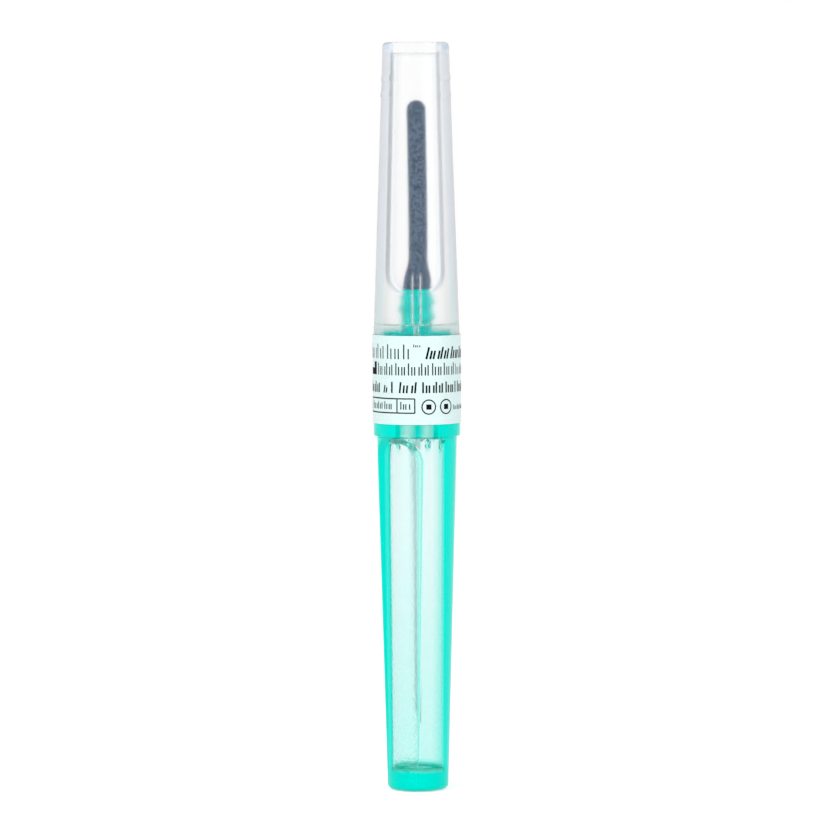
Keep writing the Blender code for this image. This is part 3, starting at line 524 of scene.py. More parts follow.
body = add_node(tree, "BsdfPrincipled", {"IOR": POLYPROPYLENE_IOR, "Specular IOR Level": TEAL_GLOSS,
                                         "Specular Tint": linear(TEAL_SHEEN)},
                {"Base Color": tint.outputs[2], "Roughness": rough, "Normal": bump,
                 "Transmission Weight": clearness})
dye = add_node(tree, "VolumeAbsorption", {"Color": linear(TEAL_PIGMENT), "Density": TEAL_DENSITY})
add_node(tree, "OutputMaterial", {}, {"Surface": body, "Volume": dye})
front_shield.data.materials.append(teal)
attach(front_shield, "front_cap")
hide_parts("front_cap")

# Cannula
# The needle itself: one drawn stainless steel tube, electropolished and ground at both ends, three facets
# at the patient's point and one at the end that pierces the tube's stopper. It is glued into the hub.
NEEDLE_R, NEEDLE_BORE_R = 0.41 * MM, 0.255 * MM
TIP_Z, REAR_TIP_Z = 7.82 * MM, 80.53 * MM
BEVEL, REAR_BEVEL, LANCET = math.radians(14.0), math.radians(19.0), math.radians(19.0)
LANCET_TURN, LANCET_SHARE = math.radians(34.0), 0.45
BEVEL_FACING = math.radians(-70.0)


def facet_height(radius, angle, facing, slope):
    """How far above the point's lowest place a ground facet cuts the tube."""
    return (NEEDLE_R + radius * math.cos(angle - facing)) / math.tan(slope)


bevel_length = LANCET_SHARE * 2 * NEEDLE_R / math.tan(BEVEL)
facet_depth = NEEDLE_R - bevel_length * math.tan(BEVEL)
facet_width = math.sqrt(NEEDLE_R ** 2 - facet_depth ** 2)
turned_depth = facet_depth * math.cos(LANCET_TURN) - facet_width * math.sin(LANCET_TURN)
lancet_start = bevel_length - (NEEDLE_R - turned_depth) / math.tan(LANCET)


def point_z(radius, angle):
    """The height of the patient's point at a place on the tube's end, from its three facets."""
    heights = [facet_height(radius, angle, BEVEL_FACING, BEVEL)]
    for side in (-1, 1):
        facing = BEVEL_FACING + side * LANCET_TURN
        heights.append(lancet_start + facet_height(radius, angle, facing, LANCET))
    return TIP_Z + max(heights)


def rear_point_z(radius, angle):
    """The height of the ground rear point."""
    return REAR_TIP_Z - facet_height(radius, angle, BEVEL_FACING, REAR_BEVEL)


tube_angles = full_turn([0.0], math.radians(3.0))
wall_radii = [between(NEEDLE_R, NEEDLE_BORE_R, i / 4) for i in range(5)]
rings = [even_ring(tube_angles, [spot(r, a, point_z(r, a)) for a in tube_angles]) for r in wall_radii]
rings += [even_ring(tube_angles, [spot(r, a, rear_point_z(r, a)) for a in tube_angles])
          for r in reversed(wall_radii)]
steel_tube = link_object("steel_cannula", ring_mesh("steel_cannula", rings, closed=True, sharp_angle=8.0))

# Drawn and electropolished stainless steel: a bright mirror with faint lengthwise drawing marks.
STEEL = "#CBDCDC"
DRAWN_WIDTH, DRAWN_LENGTH, DRAWN_HEIGHT = 0.08 * MM, 4.0 * MM, 0.01 * MM
STEEL_ROUGH, STEEL_ROUGHEST = 0.24, 0.42
steel, tree = new_material("drawn_stainless_steel")
coords = add_node(tree, "TexCoord")
drawn = add_node(tree, "Mapping", {"Scale": (1 / DRAWN_WIDTH, 1 / DRAWN_WIDTH, 1 / DRAWN_LENGTH)},
                 {0: coords.outputs["Object"]})
marks = add_node(tree, "TexNoise", {"Scale": 1.0, "Detail": 3.0}, {0: drawn})
rough = add_node(tree, "MapRange", {3: STEEL_ROUGH, 4: STEEL_ROUGHEST}, {0: marks})
bump = add_node(tree, "Bump", {"Strength": 0.15, "Distance": DRAWN_HEIGHT}, {"Height": marks})
body = add_node(tree, "BsdfPrincipled", {"Base Color": linear(STEEL), "Metallic": 1.0},
                {"Roughness": rough, "Normal": bump})
add_node(tree, "OutputMaterial", {}, {"Surface": body})
steel_tube.data.materials.append(steel)
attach(steel_tube, "hub")
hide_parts("cannula")

# Glue bead
# Light-cured acrylic glue that fills the well in the hub's nose and wicks a little way down the tube.
NOSE_Z, WELL_R, WELL_DEPTH = 45.82 * MM, 1.15 * MM, 1.8 * MM
BOND_GAP, BEAD_FOOT = 0.03 * MM, 0.01 * MM
BEAD_STEPS = 12
bead_inner, bead_outer = NEEDLE_R + BOND_GAP, WELL_R - BOND_GAP
climb = 0.3 * WELL_DEPTH
cone_z = NOSE_Z + 0.5 * WELL_DEPTH - BOND_GAP
cone_top_z = cone_z + 0.4 * WELL_DEPTH
bead_outline = [(bead_inner, cone_top_z), (bead_inner, NOSE_Z - climb)]
for i in range(BEAD_STEPS + 1):
    share = i / BEAD_STEPS
    bead_outline.append((between(bead_inner + BEAD_FOOT, bead_outer, share),
                         NOSE_Z - climb + 1.4 * climb * math.sqrt(max(0.0, 1 - (1 - share) ** 2))))
bead_outline += [(bead_outer, cone_z), (between(bead_inner, bead_outer, 0.2), cone_top_z)]
bead_angles = full_turn([0.0], math.radians(5.0))
glue_bead = link_object("glue_bead", ring_mesh(
    "glue_bead", [plain_ring(bead_angles, r, z) for r, z in bead_outline], closed=True))

# Cured acrylic: glassy and nearly clear, with a faint haze from tiny bubbles.
GLUE_TINT, ACRYLIC_IOR = "#F2F7F0", 1.48
BUBBLE_SIZE, GLUE_ROUGH, GLUE_ROUGHEST = 0.25 * MM, 0.04, 0.16
glue, tree = new_material("cured_acrylic_glue")
coords = add_node(tree, "TexCoord")
haze = add_node(tree, "TexNoise", {"Scale": 1 / BUBBLE_SIZE, "Detail": 2.0}, {0: coords.outputs["Object"]})
rough = add_node(tree, "MapRange", {3: GLUE_ROUGH, 4: GLUE_ROUGHEST}, {0: haze})
body = add_node(tree, "BsdfPrincipled",
                {"Base Color": linear(GLUE_TINT), "IOR": ACRYLIC_IOR, "Transmission Weight": 0.9},
                {"Roughness": rough})
add_node(tree, "OutputMaterial", {}, {"Surface": body})
glue_bead.data.materials.append(glue)
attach(glue_bead, "hub")
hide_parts("adhesive")

# Screw hub
# One moulding in green-blue polypropylene: a nose with the glue well, a barrel whose twelve ribs are turned
# by the front cap's splines, the flange that seats on its rim, the screw boss and a barbed nipple.
BARREL_R, NOSE_R, NOSE_TAPER = 3.10 * MM, 2.15 * MM, 1.6 * MM
WELL_LIP, NOSE_CHAMFER, NOSE_EDGE = 0.06 * MM, 0.1 * MM, 0.08 * MM
RIB_HEIGHT, RIB_WIDTH, RIB_LEAD, RIB_LEAD_STEPS = 0.35 * MM, 0.55 * MM, 0.9 * MM, 7
FLANGE_Z, FLANGE_TOP_Z, FLANGE_ROUND = 54.02 * MM, 55.22 * MM, 0.25 * MM
FLANGE_CHAMFER, BOSS_FILLET = 0.08 * MM, 0.12 * MM
THREAD_Z, THREAD_ROOT_R, THREAD_DEPTH = 56.02 * MM, 1.86 * MM, 0.36 * MM
THREAD_START, THREAD_STEP, THREAD_LAPS = 0.2 * MM, 0.06 * MM, 3
THREAD_PITCH, THREAD_TURNS, THREAD_FADE = 1.7 * MM, 1.8, 0.12
THREAD_ROOT_WIDTH, THREAD_CREST_WIDTH = 0.95 * MM, 0.30 * MM
BOSS_END_Z, BOSS_CHAMFER = 60.13 * MM, 0.25 * MM
NIPPLE_TOP_Z, NIPPLE_BASE_R, NIPPLE_TIP_R, BARB = 63.53 * MM, 1.25 * MM, 0.74 * MM, 0.12 * MM
BARB_HALF, NIPPLE_EDGE, NIPPLE_CHAMFER = 0.02 * MM, 0.03 * MM, 0.05 * MM
HUB_BORE_R = NEEDLE_R + BOND_GAP
rib_middle = SPLINE_PHASE + spline_step / 2
rib_half = RIB_WIDTH / 2 / BARREL_R
hub_angles = full_turn([rib_middle + k * spline_step + side * rib_half * share for k in range(SPLINE_COUNT)
                        for side in (-1, 1) for share in (0.7, 0.9, 1.1)], math.radians(3.2))


def barrel_ring(radius, z, height):
    """A ring of the barrel with its ribs standing out by a height."""
    ring = []
    for angle in hub_angles:
        off = abs((angle - rib_middle + spline_step / 2) % spline_step - spline_step / 2)
        share = 1 - soft_ramp((off / rib_half - 0.85) / 0.3, 0.3)
        ring.append(spot(radius + height * share, angle, z))
    return even_ring(hub_angles, ring)


def thread_ring(z, radius=THREAD_ROOT_R):
    """A ring of the screw boss, where the ridge's rise depends on how near its helix passes."""
    ring = []
    for angle in hub_angles:
        ridge = 0.0
        for lap in range(THREAD_LAPS):
            turns = angle / math.tau + lap
            share = min(1.0, max(0.0, turns / THREAD_TURNS))
            middle = THREAD_Z + THREAD_ROOT_WIDTH / 2 + share * THREAD_TURNS * THREAD_PITCH
            away = abs(turns - share * THREAD_TURNS) * math.tau * THREAD_ROOT_R
            slope = (THREAD_ROOT_WIDTH - THREAD_CREST_WIDTH) / 2
            flank = 1 - soft_ramp((math.hypot(z - middle, away) - THREAD_CREST_WIDTH / 2) / slope, 0.2)
            rise = 0.1 + 0.9 * min(1.0, share / THREAD_FADE, (1 - share) / THREAD_FADE)
            ridge = max(ridge, flank * rise)
        ring.append(spot(radius + THREAD_DEPTH * ridge, angle, z))
    return even_ring(hub_angles, ring)


rings = [plain_ring(hub_angles, r, z) for r, z in (
    (HUB_BORE_R, NOSE_Z + WELL_DEPTH), (WELL_R, NOSE_Z + WELL_DEPTH / 2), (WELL_R, NOSE_Z + WELL_LIP),
    (WELL_R + WELL_LIP, NOSE_Z), (NOSE_R - NOSE_CHAMFER, NOSE_Z), (NOSE_R, NOSE_Z + NOSE_EDGE))]
rib_z = NOSE_Z + NOSE_TAPER
rings.append(plain_ring(hub_angles, BARREL_R, rib_z))
for i in range(RIB_LEAD_STEPS):
    share = (i + 1) / RIB_LEAD_STEPS
    rings.append(barrel_ring(BARREL_R, rib_z + RIB_LEAD * share, RIB_HEIGHT * soft_ramp(share, 0.2)))
rings.append(barrel_ring(BARREL_R, FLANGE_Z, RIB_HEIGHT))
flange_corner = (SPIGOT_R - FLANGE_ROUND, FLANGE_TOP_Z - FLANGE_ROUND)
rings += [plain_ring(hub_angles, r, z) for r, z in
          [(SPIGOT_R - FLANGE_CHAMFER, FLANGE_Z), (SPIGOT_R, FLANGE_Z + FLANGE_CHAMFER)]
          + quarter_round(flange_corner, FLANGE_ROUND, 0, 90, 6)
          + [(THREAD_ROOT_R + BOSS_FILLET, FLANGE_TOP_Z), (THREAD_ROOT_R, FLANGE_TOP_Z + BOSS_FILLET)]]
rings += [thread_ring(z) for z in spaced(THREAD_Z - THREAD_START, BOSS_END_Z - BOSS_CHAMFER, THREAD_STEP)]
rings.append(thread_ring(BOSS_END_Z - BOSS_CHAMFER))
barb_z = NIPPLE_TOP_Z - 0.25 * (NIPPLE_TOP_Z - BOSS_END_Z)
barb_root = between(NIPPLE_BASE_R, NIPPLE_TIP_R, 0.75)
rings += [plain_ring(hub_angles, r, z) for r, z in (
    (THREAD_ROOT_R - BOSS_CHAMFER, BOSS_END_Z), (NIPPLE_BASE_R, BOSS_END_Z), (barb_root, barb_z - BARB_HALF),
    (barb_root + BARB, barb_z + BARB_HALF), (NIPPLE_TIP_R + NIPPLE_EDGE, NIPPLE_TOP_Z - NIPPLE_CHAMFER),
    (NIPPLE_TIP_R, NIPPLE_TOP_Z), (HUB_BORE_R, NIPPLE_TOP_Z))]
screw_hub = link_object("screw_hub", ring_mesh("screw_hub", rings, closed=True))

# Moulded polypropylene with dense pigment: a satin, waxy green-blue, a little deeper where the melt flowed.
HUB_GREEN, HUB_DEEP, HUB_GLOSS = "#00E8DA", "#00D6CC", 0.15
FLOW_SIZE, SATIN_SIZE, SATIN_HEIGHT = 2.0 * MM, 0.12 * MM, 0.02 * MM
HUB_ROUGH, HUB_ROUGHEST = 0.28, 0.42
hub_plastic, tree = new_material("moulded_hub_polypropylene")
coords = add_node(tree, "TexCoord")
flow = add_node(tree, "TexNoise", {"Scale": 1 / FLOW_SIZE, "Detail": 3.0}, {0: coords.outputs["Object"]})
colour = add_node(tree, "Mix", {"data_type": "RGBA", 6: linear(HUB_GREEN), 7: linear(HUB_DEEP)}, {0: flow})
grain = add_node(tree, "TexNoise", {"Scale": 1 / SATIN_SIZE, "Detail": 2.0}, {0: coords.outputs["Object"]})
bump = add_node(tree, "Bump", {"Strength": 0.15, "Distance": SATIN_HEIGHT}, {"Height": grain})
rough = add_node(tree, "MapRange", {3: HUB_ROUGH, 4: HUB_ROUGHEST}, {0: grain})
body = add_node(tree, "BsdfPrincipled",
                {"IOR": POLYPROPYLENE_IOR, "Transmission Weight": 0.05, "Specular IOR Level": HUB_GLOSS,
                 "Specular Tint": linear(TEAL_SHEEN)},
                {"Base Color": colour.outputs[2], "Roughness": rough, "Normal": bump})
add_node(tree, "OutputMaterial", {}, {"Surface": body})
screw_hub.data.materials.append(hub_plastic)
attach(screw_hub, "hub")
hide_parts("hub")

# Rubber sleeve
# A dipped rubber sleeve, closed and domed at the top, that seals the tube end between blood tubes. Its foot
# is stretched over the hub's barbed nipple and flares there.
SLEEVE_R, SLEEVE_WALL, SLEEVE_TOP_Z, SLEEVE_END_WALL = 1.12 * MM, 0.45 * MM, 82.73 * MM, 0.9 * MM
SLEEVE_FOOT_R, SLEEVE_FOOT, SLEEVE_Z, FOOT_ROUND = 1.65 * MM, 0.6 * MM, 60.18 * MM, 0.1 * MM
SLEEVE_BOW, SLEEVE_BOW_SHAPE = 0.20 * MM, 0.55
SLEEVE_STEP, SLEEVE_FLARE_STEPS = 2.0 * MM, 12
SLEEVE_BORE_R = SLEEVE_R - SLEEVE_WALL
inner_dome_z = SLEEVE_TOP_Z - SLEEVE_END_WALL - SLEEVE_BORE_R
dome_z = SLEEVE_TOP_Z - SLEEVE_R
nipple_gap = BOND_GAP + BARB
sleeve_angles = full_turn([0.0], math.radians(3.75))
sleeve_outline = quarter_round((0.0, inner_dome_z), SLEEVE_BORE_R, 80, 0, 6)
sleeve_outline += [(SLEEVE_BORE_R, z) for z in
                   reversed(spaced(NIPPLE_TOP_Z + SLEEVE_WALL, inner_dome_z, SLEEVE_STEP))]
sleeve_outline += [(NIPPLE_TIP_R + nipple_gap, NIPPLE_TOP_Z), (NIPPLE_BASE_R + nipple_gap, SLEEVE_Z),
                   (SLEEVE_FOOT_R - FOOT_ROUND, SLEEVE_Z)]
sleeve_outline += quarter_round((SLEEVE_FOOT_R - FOOT_ROUND, SLEEVE_Z + FOOT_ROUND), FOOT_ROUND, -60, 0, 3)
for i in range(SLEEVE_FLARE_STEPS + 1):
    share = i / SLEEVE_FLARE_STEPS
    ease = (1 - math.cos(math.pi * share)) / 2
    sleeve_outline.append((between(SLEEVE_FOOT_R, SLEEVE_R, ease),
                           between(SLEEVE_Z + SLEEVE_FOOT, NIPPLE_TOP_Z + SLEEVE_WALL, share)))
sleeve_outline += [(SLEEVE_R, z) for z in spaced(NIPPLE_TOP_Z + 2 * SLEEVE_WALL, dome_z, SLEEVE_STEP)]
sleeve_outline += quarter_round((0.0, dome_z), SLEEVE_R, 0, 85, 10)


def bowed_ring(radius, z):
    """A ring of the sleeve, which bows a little to one side between its foot and its tip."""
    share = min(1.0, max(0.0, (z - SLEEVE_Z) / (SLEEVE_TOP_Z - SLEEVE_Z)))
    aside = SLEEVE_BOW * math.sin(math.pi * share ** SLEEVE_BOW_SHAPE)
    points = [spot(radius, angle, z) for angle in sleeve_angles]
    return even_ring(sleeve_angles, [(x + aside, y, height) for x, y, height in points])


rings = [bowed_ring(r, z) for r, z in sleeve_outline]
rubber_sleeve = link_object("rubber_sleeve", ring_mesh("rubber_sleeve", rings))

# Dipped isoprene rubber, filled grey: matt and powdered, with a fine grain and lighter dust in patches.
RUBBER, RUBBER_LIGHT, RUBBER_IOR = "#24374D", "#6B7F97", 1.52
POWDER_SIZE, POWDER_HEIGHT, POWDER_SPREAD = 0.24 * MM, 0.03 * MM, (0.42, 0.60)
RUBBER_ROUGH, RUBBER_ROUGHEST = 0.62, 0.85
rubber, tree = new_material("dipped_grey_rubber")
coords = add_node(tree, "TexCoord")
powder = add_node(tree, "TexNoise", {"Scale": 1 / POWDER_SIZE, "Detail": 3.0, "Roughness": 0.6},
                  {0: coords.outputs["Object"]})
dusty = add_node(tree, "MapRange", {1: POWDER_SPREAD[0], 2: POWDER_SPREAD[1]}, {0: powder})
colour = add_node(tree, "Mix", {"data_type": "RGBA", 6: linear(RUBBER), 7: linear(RUBBER_LIGHT)}, {0: dusty})
bump = add_node(tree, "Bump", {"Strength": 0.3, "Distance": POWDER_HEIGHT}, {"Height": powder})
rough = add_node(tree, "MapRange", {3: RUBBER_ROUGH, 4: RUBBER_ROUGHEST}, {0: powder})
body = add_node(tree, "BsdfPrincipled", {"IOR": RUBBER_IOR},
                {"Base Color": colour.outputs[2], "Roughness": rough, "Normal": bump})
add_node(tree, "OutputMaterial", {}, {"Surface": body})
rubber_sleeve.data.materials.append(rubber)
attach(rubber_sleeve, "hub")
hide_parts("sleeve")

# Rear cap
# The cover over the sleeved end: one clear polypropylene moulding with the same two sunk panels, two low
# grip rings near its closed end, crush ribs in its mouth and four guide ribs above the inner step.
MOUTH_Z, STEP_Z, TAPER_Z = 49.07 * MM, 56.02 * MM, 53.62 * MM
TOP_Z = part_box("rear_cap")[1].z
REAR_FLOOR_Z = TOP_Z - 1.3 * MM
COUNTERBORE_R, REAR_BORE_R, REAR_BORE_END_R, REAR_END_R = 4.60 * MM, 4.05 * MM, 3.00 * MM, 3.95 * MM
REAR_PANEL_WALL, REAR_PANEL_HALF, REAR_PANEL_CORNER = 0.65 * MM, math.radians(42.0), 2.4 * MM
REAR_PANEL_Z = STEP_Z + 4.0 * MM
CRUSH_HEIGHT, CRUSH_WIDTH, CRUSH_FLANK = 0.10 * MM, 0.55 * MM, 0.6
GUIDE_LENGTH, GUIDE_WIDTH, GUIDE_FOOT, GUIDE_FLANK = 6.3 * MM, 1.0 * MM, 0.25 * MM, 0.86
END_ROUND, BORE_ROUND, MOUTH_CHAMFER, STEP_CHAMFER = 0.5 * MM, 0.12 * MM, 0.15 * MM, 0.05 * MM
END_GATE_R, END_FLAT_R, INNER_FLAT_R = 0.5 * MM, 2.2 * MM, 0.9 * MM
RING_HEIGHT, RING_LENGTH, RING_DROPS = 0.07 * MM, 0.9 * MM, (3.7 * MM, 5.7 * MM)
RING_RISE, RING_FALL = 0.15, 0.4
RIB_LINE = 0.19 * MM


def rear_skin(z):
    """The rear cap's outer radius above its mouth, without its rings."""
    return between(COLLAR_R, REAR_END_R, max(0.0, (z - TAPER_Z) / (TOP_Z - TAPER_Z)))


def rear_bore(z):
    """The rear cap's inner radius above its step."""
    return between(REAR_BORE_R, REAR_BORE_END_R, (z - STEP_Z) / (REAR_FLOOR_Z - STEP_Z))


def rear_floor(z):
    """The radius of the rear cap's panel floor."""
    return rear_bore(z) + REAR_PANEL_WALL


def grip_ring(z):
    """How far the two low rings stand out at a height: a short rise below, a long fall above."""
    rise = 0.0
    for drop in RING_DROPS:
        share = (z - (TOP_Z - drop - RING_LENGTH)) / RING_LENGTH
        fallen = soft_ramp((share - 1 + RING_FALL) / RING_FALL, 0.2)
        rise = max(rise, soft_ramp(share / RING_RISE, 0.3) - fallen)
    return RING_HEIGHT * rise


rear_panels = [{"facing": math.radians(facing), "half_angle": REAR_PANEL_HALF, "way": 1,
                "corner": REAR_PANEL_CORNER, "end_z": REAR_PANEL_Z, "floor": rear_floor,
                "skin": rear_skin} for facing in (-2.6, 177.4)]
outer_angles = full_turn(panel_marks(rear_panels), FRONT_SEGMENT)
crush_half = CRUSH_WIDTH / 2 / COUNTERBORE_R
guide_half = GUIDE_WIDTH / 2 / REAR_BORE_R
flank_marks = [crush_half * share for share in (CRUSH_FLANK, 0.8, 1.0)]
flank_marks += [guide_half * share for share in (0.75, GUIDE_FLANK, 0.93, 1.0, 1.1, 1.25)]
rear_inner_angles = full_turn([math.pi / 2 * k + side * edge for k in range(4) for side in (-1, 1)
                               for edge in flank_marks], math.radians(2.6))


def ribbed_ring(radius, z, crest_radius, half_angle, flank):
    """A ring of the rear cap's inside with four ribs standing in to the crest radius."""
    points, surfaces = [], []
    standing = 1.0 if crest_radius < radius - LEAST_DEPTH else 0.0
    for angle in rear_inner_angles:
        off = abs((angle + math.pi / 4) % (math.pi / 2) - math.pi / 4)
        share = 1 - soft_ramp((off / half_angle - flank) / (1 - flank), 0.3)
        points.append(spot(between(radius, crest_radius, share), angle, z))
        aside = abs(off - half_angle * (1 + flank) / 2) * radius
        surfaces.append((0.0, standing * max(0.0, 1 - aside / RIB_LINE), 0.0))
    return rear_inner_angles, points, surfaces


end_centre = (rear_skin(TOP_Z - END_ROUND) - END_ROUND, TOP_Z - END_ROUND)
ring_top_z = TOP_Z - min(RING_DROPS) + 0.1 * MM
ring_foot_z = TOP_Z - max(RING_DROPS) - RING_LENGTH - 0.1 * MM
arch_top_z, arch_foot_z = REAR_PANEL_Z + 2.6 * MM, REAR_PANEL_Z - 0.7 * MM
outline = [(END_GATE_R, TOP_Z), (END_FLAT_R, TOP_Z)]
outline += quarter_round(end_centre, END_ROUND, 90, 0, 8)
heights = spaced(TOP_Z - END_ROUND - 0.3 * MM, ring_top_z, 0.5 * MM)
heights += spaced(ring_top_z, ring_foot_z, 0.07 * MM)
heights += spaced(ring_foot_z, arch_top_z, SKIN_STEP)
heights += spaced(arch_top_z, arch_foot_z, ARCH_STEP)
heights += spaced(arch_foot_z, MOUTH_Z + 2 * MOUTH_CHAMFER, 0.8 * MM)
outline += [(rear_skin(z) + grip_ring(z), z) for z in heights]
outline += [(COLLAR_R, MOUTH_Z + MOUTH_CHAMFER), (COLLAR_R - MOUTH_CHAMFER, MOUTH_Z)]
rings = [sunk_ring(outer_angles, r, z, rear_panels) if z > REAR_PANEL_Z - 1.0 * MM
         else plain_ring(outer_angles, r, z, OUTSIDE) for r, z in outline]
wide_r, crush_crest = COUNTERBORE_R + MOUTH_CHAMFER, COUNTERBORE_R - CRUSH_HEIGHT
rings.append(ribbed_ring(wide_r, MOUTH_Z, wide_r, crush_half, CRUSH_FLANK))
for z, reach in ((MOUTH_Z + MOUTH_CHAMFER, 0.0), (MOUTH_Z + 2 * MOUTH_CHAMFER, 0.0),
                 (MOUTH_Z + 4 * MOUTH_CHAMFER, 1.0), (between(MOUTH_Z, STEP_Z, 0.5), 1.0),
                 (STEP_Z - STEP_CHAMFER, 1.0)):
    crest = between(COUNTERBORE_R, crush_crest, reach)
    rings.append(ribbed_ring(COUNTERBORE_R, z, crest, crush_half, CRUSH_FLANK))
rings += [plain_ring(rear_inner_angles, radius, STEP_Z, (0.0, 1.0, 0.0))
          for radius in (COUNTERBORE_R - STEP_CHAMFER, REAR_BORE_R + STEP_CHAMFER)]
guide_end_z = STEP_Z + GUIDE_LENGTH
guide_crest = rear_bore(guide_end_z)
guide_heights = [(STEP_Z + STEP_CHAMFER, 0.0), (STEP_Z + 0.5 * GUIDE_FOOT, 0.6), (STEP_Z + GUIDE_FOOT, 1.0)]
guide_heights += [(z, 1.0) for z in spaced(STEP_Z + 0.6 * MM, guide_end_z, 0.6 * MM)]
for z, reach in guide_heights:
    crest = between(rear_bore(z), guide_crest, reach)
    rings.append(ribbed_ring(rear_bore(z), z, crest, guide_half, GUIDE_FLANK))
bore_corner = (rear_bore(REAR_FLOOR_Z) - BORE_ROUND, REAR_FLOOR_Z - BORE_ROUND)
inner_end = [(rear_bore(z), z) for z in spaced(guide_end_z, REAR_FLOOR_Z - BORE_ROUND, BORE_STEP)]
inner_end += quarter_round(bore_corner, BORE_ROUND, 0, 90, 4)
inner_end.append((INNER_FLAT_R, REAR_FLOOR_Z))
rings += [plain_ring(rear_inner_angles, r, z) for r, z in inner_end]
clear_cover = link_object("rear_cap_cover", ring_mesh("rear_cap_cover", rings))

# Natural polypropylene, moulded: nearly white clear where the eye looks through two thin walls, blue-grey
# and milky past the bore's edge, where it looks along the crystallised plastic, and finely etched on the
# panels. The panels' sloped sides carry a painted line of pale blue shade, and near the step the wall
# carries a painted reflection of the teal hub.
CLEAR_THIN, CLEAR_WALL, CLEAR_RIM = "#FFFFFF", "#E7EEF6", "#F4F6FA"
# Painted teal reflection of the hub on the wall by the step, and how far above the step it fades out
CLEAR_HUB_REFLECTION, HUB_REFLECTION_REACH = "#E0F6F4", 11.0 * MM
# Painted pale blue shade along the panels' sloped sides, and the colour at the closed end's corners
CLEAR_STEP_SHADE, CLEAR_CORNER = "#E4F1FE", "#CFE0F2"
CLEAR_BODY, CLEAR_DENSITY, CLEAR_SHEEN = "#DCE8F2", 8.0, "#8FA4B8"
WALL_MILK, LINE_MILK = 0.35, 0.7
# Where the wall and its rim start and end on the way to the side, in radii of the bore, and below the top
IN_WALL, AT_RIM, AT_END = (0.96, 1.05), (1.14, 1.26), (1.2 * MM, 0.8 * MM)
HAZE_SIZE, HAZE_SHARE = 1.4 * MM, 0.10
ETCH_SIZE, ETCH_HEIGHT, RIB_ETCH, PANEL_ETCH, ETCH_START = 0.22 * MM, 0.02 * MM, 0.04, 0.30, 0.95
CLEAR_RIB_ROUGH, CLEAR_PANEL_ROUGH, PANEL_START, INNER_ROUGH = 0.29, 0.17, 0.92, 0.15
clear, tree = new_material("moulded_clear_polypropylene")
coords = add_node(tree, "TexCoord")
axes = add_node(tree, "SeparateXYZ", {}, {0: coords.outputs["Object"]})
surface = add_node(tree, "Attribute", {"attribute_name": "surface"})
kinds = add_node(tree, "SeparateXYZ", {}, {0: surface.outputs["Vector"]})
panel, edge, outside = kinds.outputs
beside = beside_bore(tree, coords.outputs["Object"], (STEP_Z, REAR_BORE_R), (REAR_FLOOR_Z, REAR_BORE_END_R))
in_wall = add_node(tree, "MapRange", {1: IN_WALL[0], 2: IN_WALL[1]}, {0: beside})
at_rim = add_node(tree, "MapRange", {1: AT_RIM[0], 2: AT_RIM[1]}, {0: beside})
at_end = add_node(tree, "MapRange", {1: TOP_Z - AT_END[0], 2: TOP_Z - AT_END[1]}, {0: axes.outputs["Z"]})
# Towards the step the wall's colour turns to a painted reflection of the teal hub.
hub_reflection_share = add_node(tree, "MapRange", {1: STEP_Z + HUB_REFLECTION_REACH, 2: STEP_Z}, {0: axes.outputs["Z"]})
wall_and_hub_reflection = add_node(tree, "Mix", {"data_type": "RGBA", 6: linear(CLEAR_WALL), 7: linear(CLEAR_HUB_REFLECTION)},
                     {0: hub_reflection_share})
wall_colour = add_node(tree, "Mix", {"data_type": "RGBA", 6: linear(CLEAR_THIN)},
                       {0: in_wall, 7: wall_and_hub_reflection.outputs[2]})
rim_colour = add_node(tree, "Mix", {"data_type": "RGBA", 7: linear(CLEAR_RIM)},
                      {0: at_rim, 6: wall_colour.outputs[2]})
at_corner = add_node(tree, "Math", {"operation": "MULTIPLY"}, {0: at_end, 1: in_wall})
corner_colour = add_node(tree, "Mix", {"data_type": "RGBA", 7: linear(CLEAR_CORNER)},
                         {0: at_corner, 6: rim_colour.outputs[2]})
below_end = add_node(tree, "Math", {"operation": "SUBTRACT", 0: 1.0}, {1: at_end})
# The panels' sloped sides get a line of painted shade, kept off the closed end.
outer_edge = add_node(tree, "Math", {"operation": "MULTIPLY"}, {0: edge, 1: outside})
step_shade_line = add_node(tree, "Math", {"operation": "MULTIPLY"}, {0: outer_edge, 1: below_end})
step_shaded = add_node(tree, "Mix", {"data_type": "RGBA", 7: linear(CLEAR_STEP_SHADE)},
                   {0: step_shade_line, 6: corner_colour.outputs[2]})
colour = add_node(tree, "Mix", {"data_type": "RGBA", 6: linear(CLEAR_THIN)},
                  {0: outside, 7: step_shaded.outputs[2]})
inner_edge = add_node(tree, "Math", {"operation": "SUBTRACT"}, {0: edge, 1: outer_edge})
line_milk = add_node(tree, "Math", {"operation": "MULTIPLY", 1: LINE_MILK}, {0: inner_edge})
skin_wall = add_node(tree, "Math", {"operation": "MULTIPLY"}, {0: in_wall, 1: outside})
milk = add_node(tree, "Math", {"operation": "MULTIPLY_ADD", 1: WALL_MILK}, {0: skin_wall, 2: line_milk})
clearness = add_node(tree, "Math", {"operation": "SUBTRACT", 0: 1.0}, {1: milk})
haze = add_node(tree, "TexNoise", {"Scale": 1 / HAZE_SIZE, "Detail": 2.0}, {0: coords.outputs["Object"]})
grain = add_node(tree, "TexNoise", {"Scale": 1 / ETCH_SIZE, "Detail": 1.0}, {0: coords.outputs["Object"]})
etch_strength = add_node(tree, "MapRange", {1: ETCH_START, 3: RIB_ETCH, 4: PANEL_ETCH}, {0: panel})
bump = add_node(tree, "Bump", {"Distance": ETCH_HEIGHT}, {"Height": grain, "Strength": etch_strength})
moulded = add_node(tree, "MapRange", {1: PANEL_START, 3: CLEAR_RIB_ROUGH, 4: CLEAR_PANEL_ROUGH}, {0: panel})
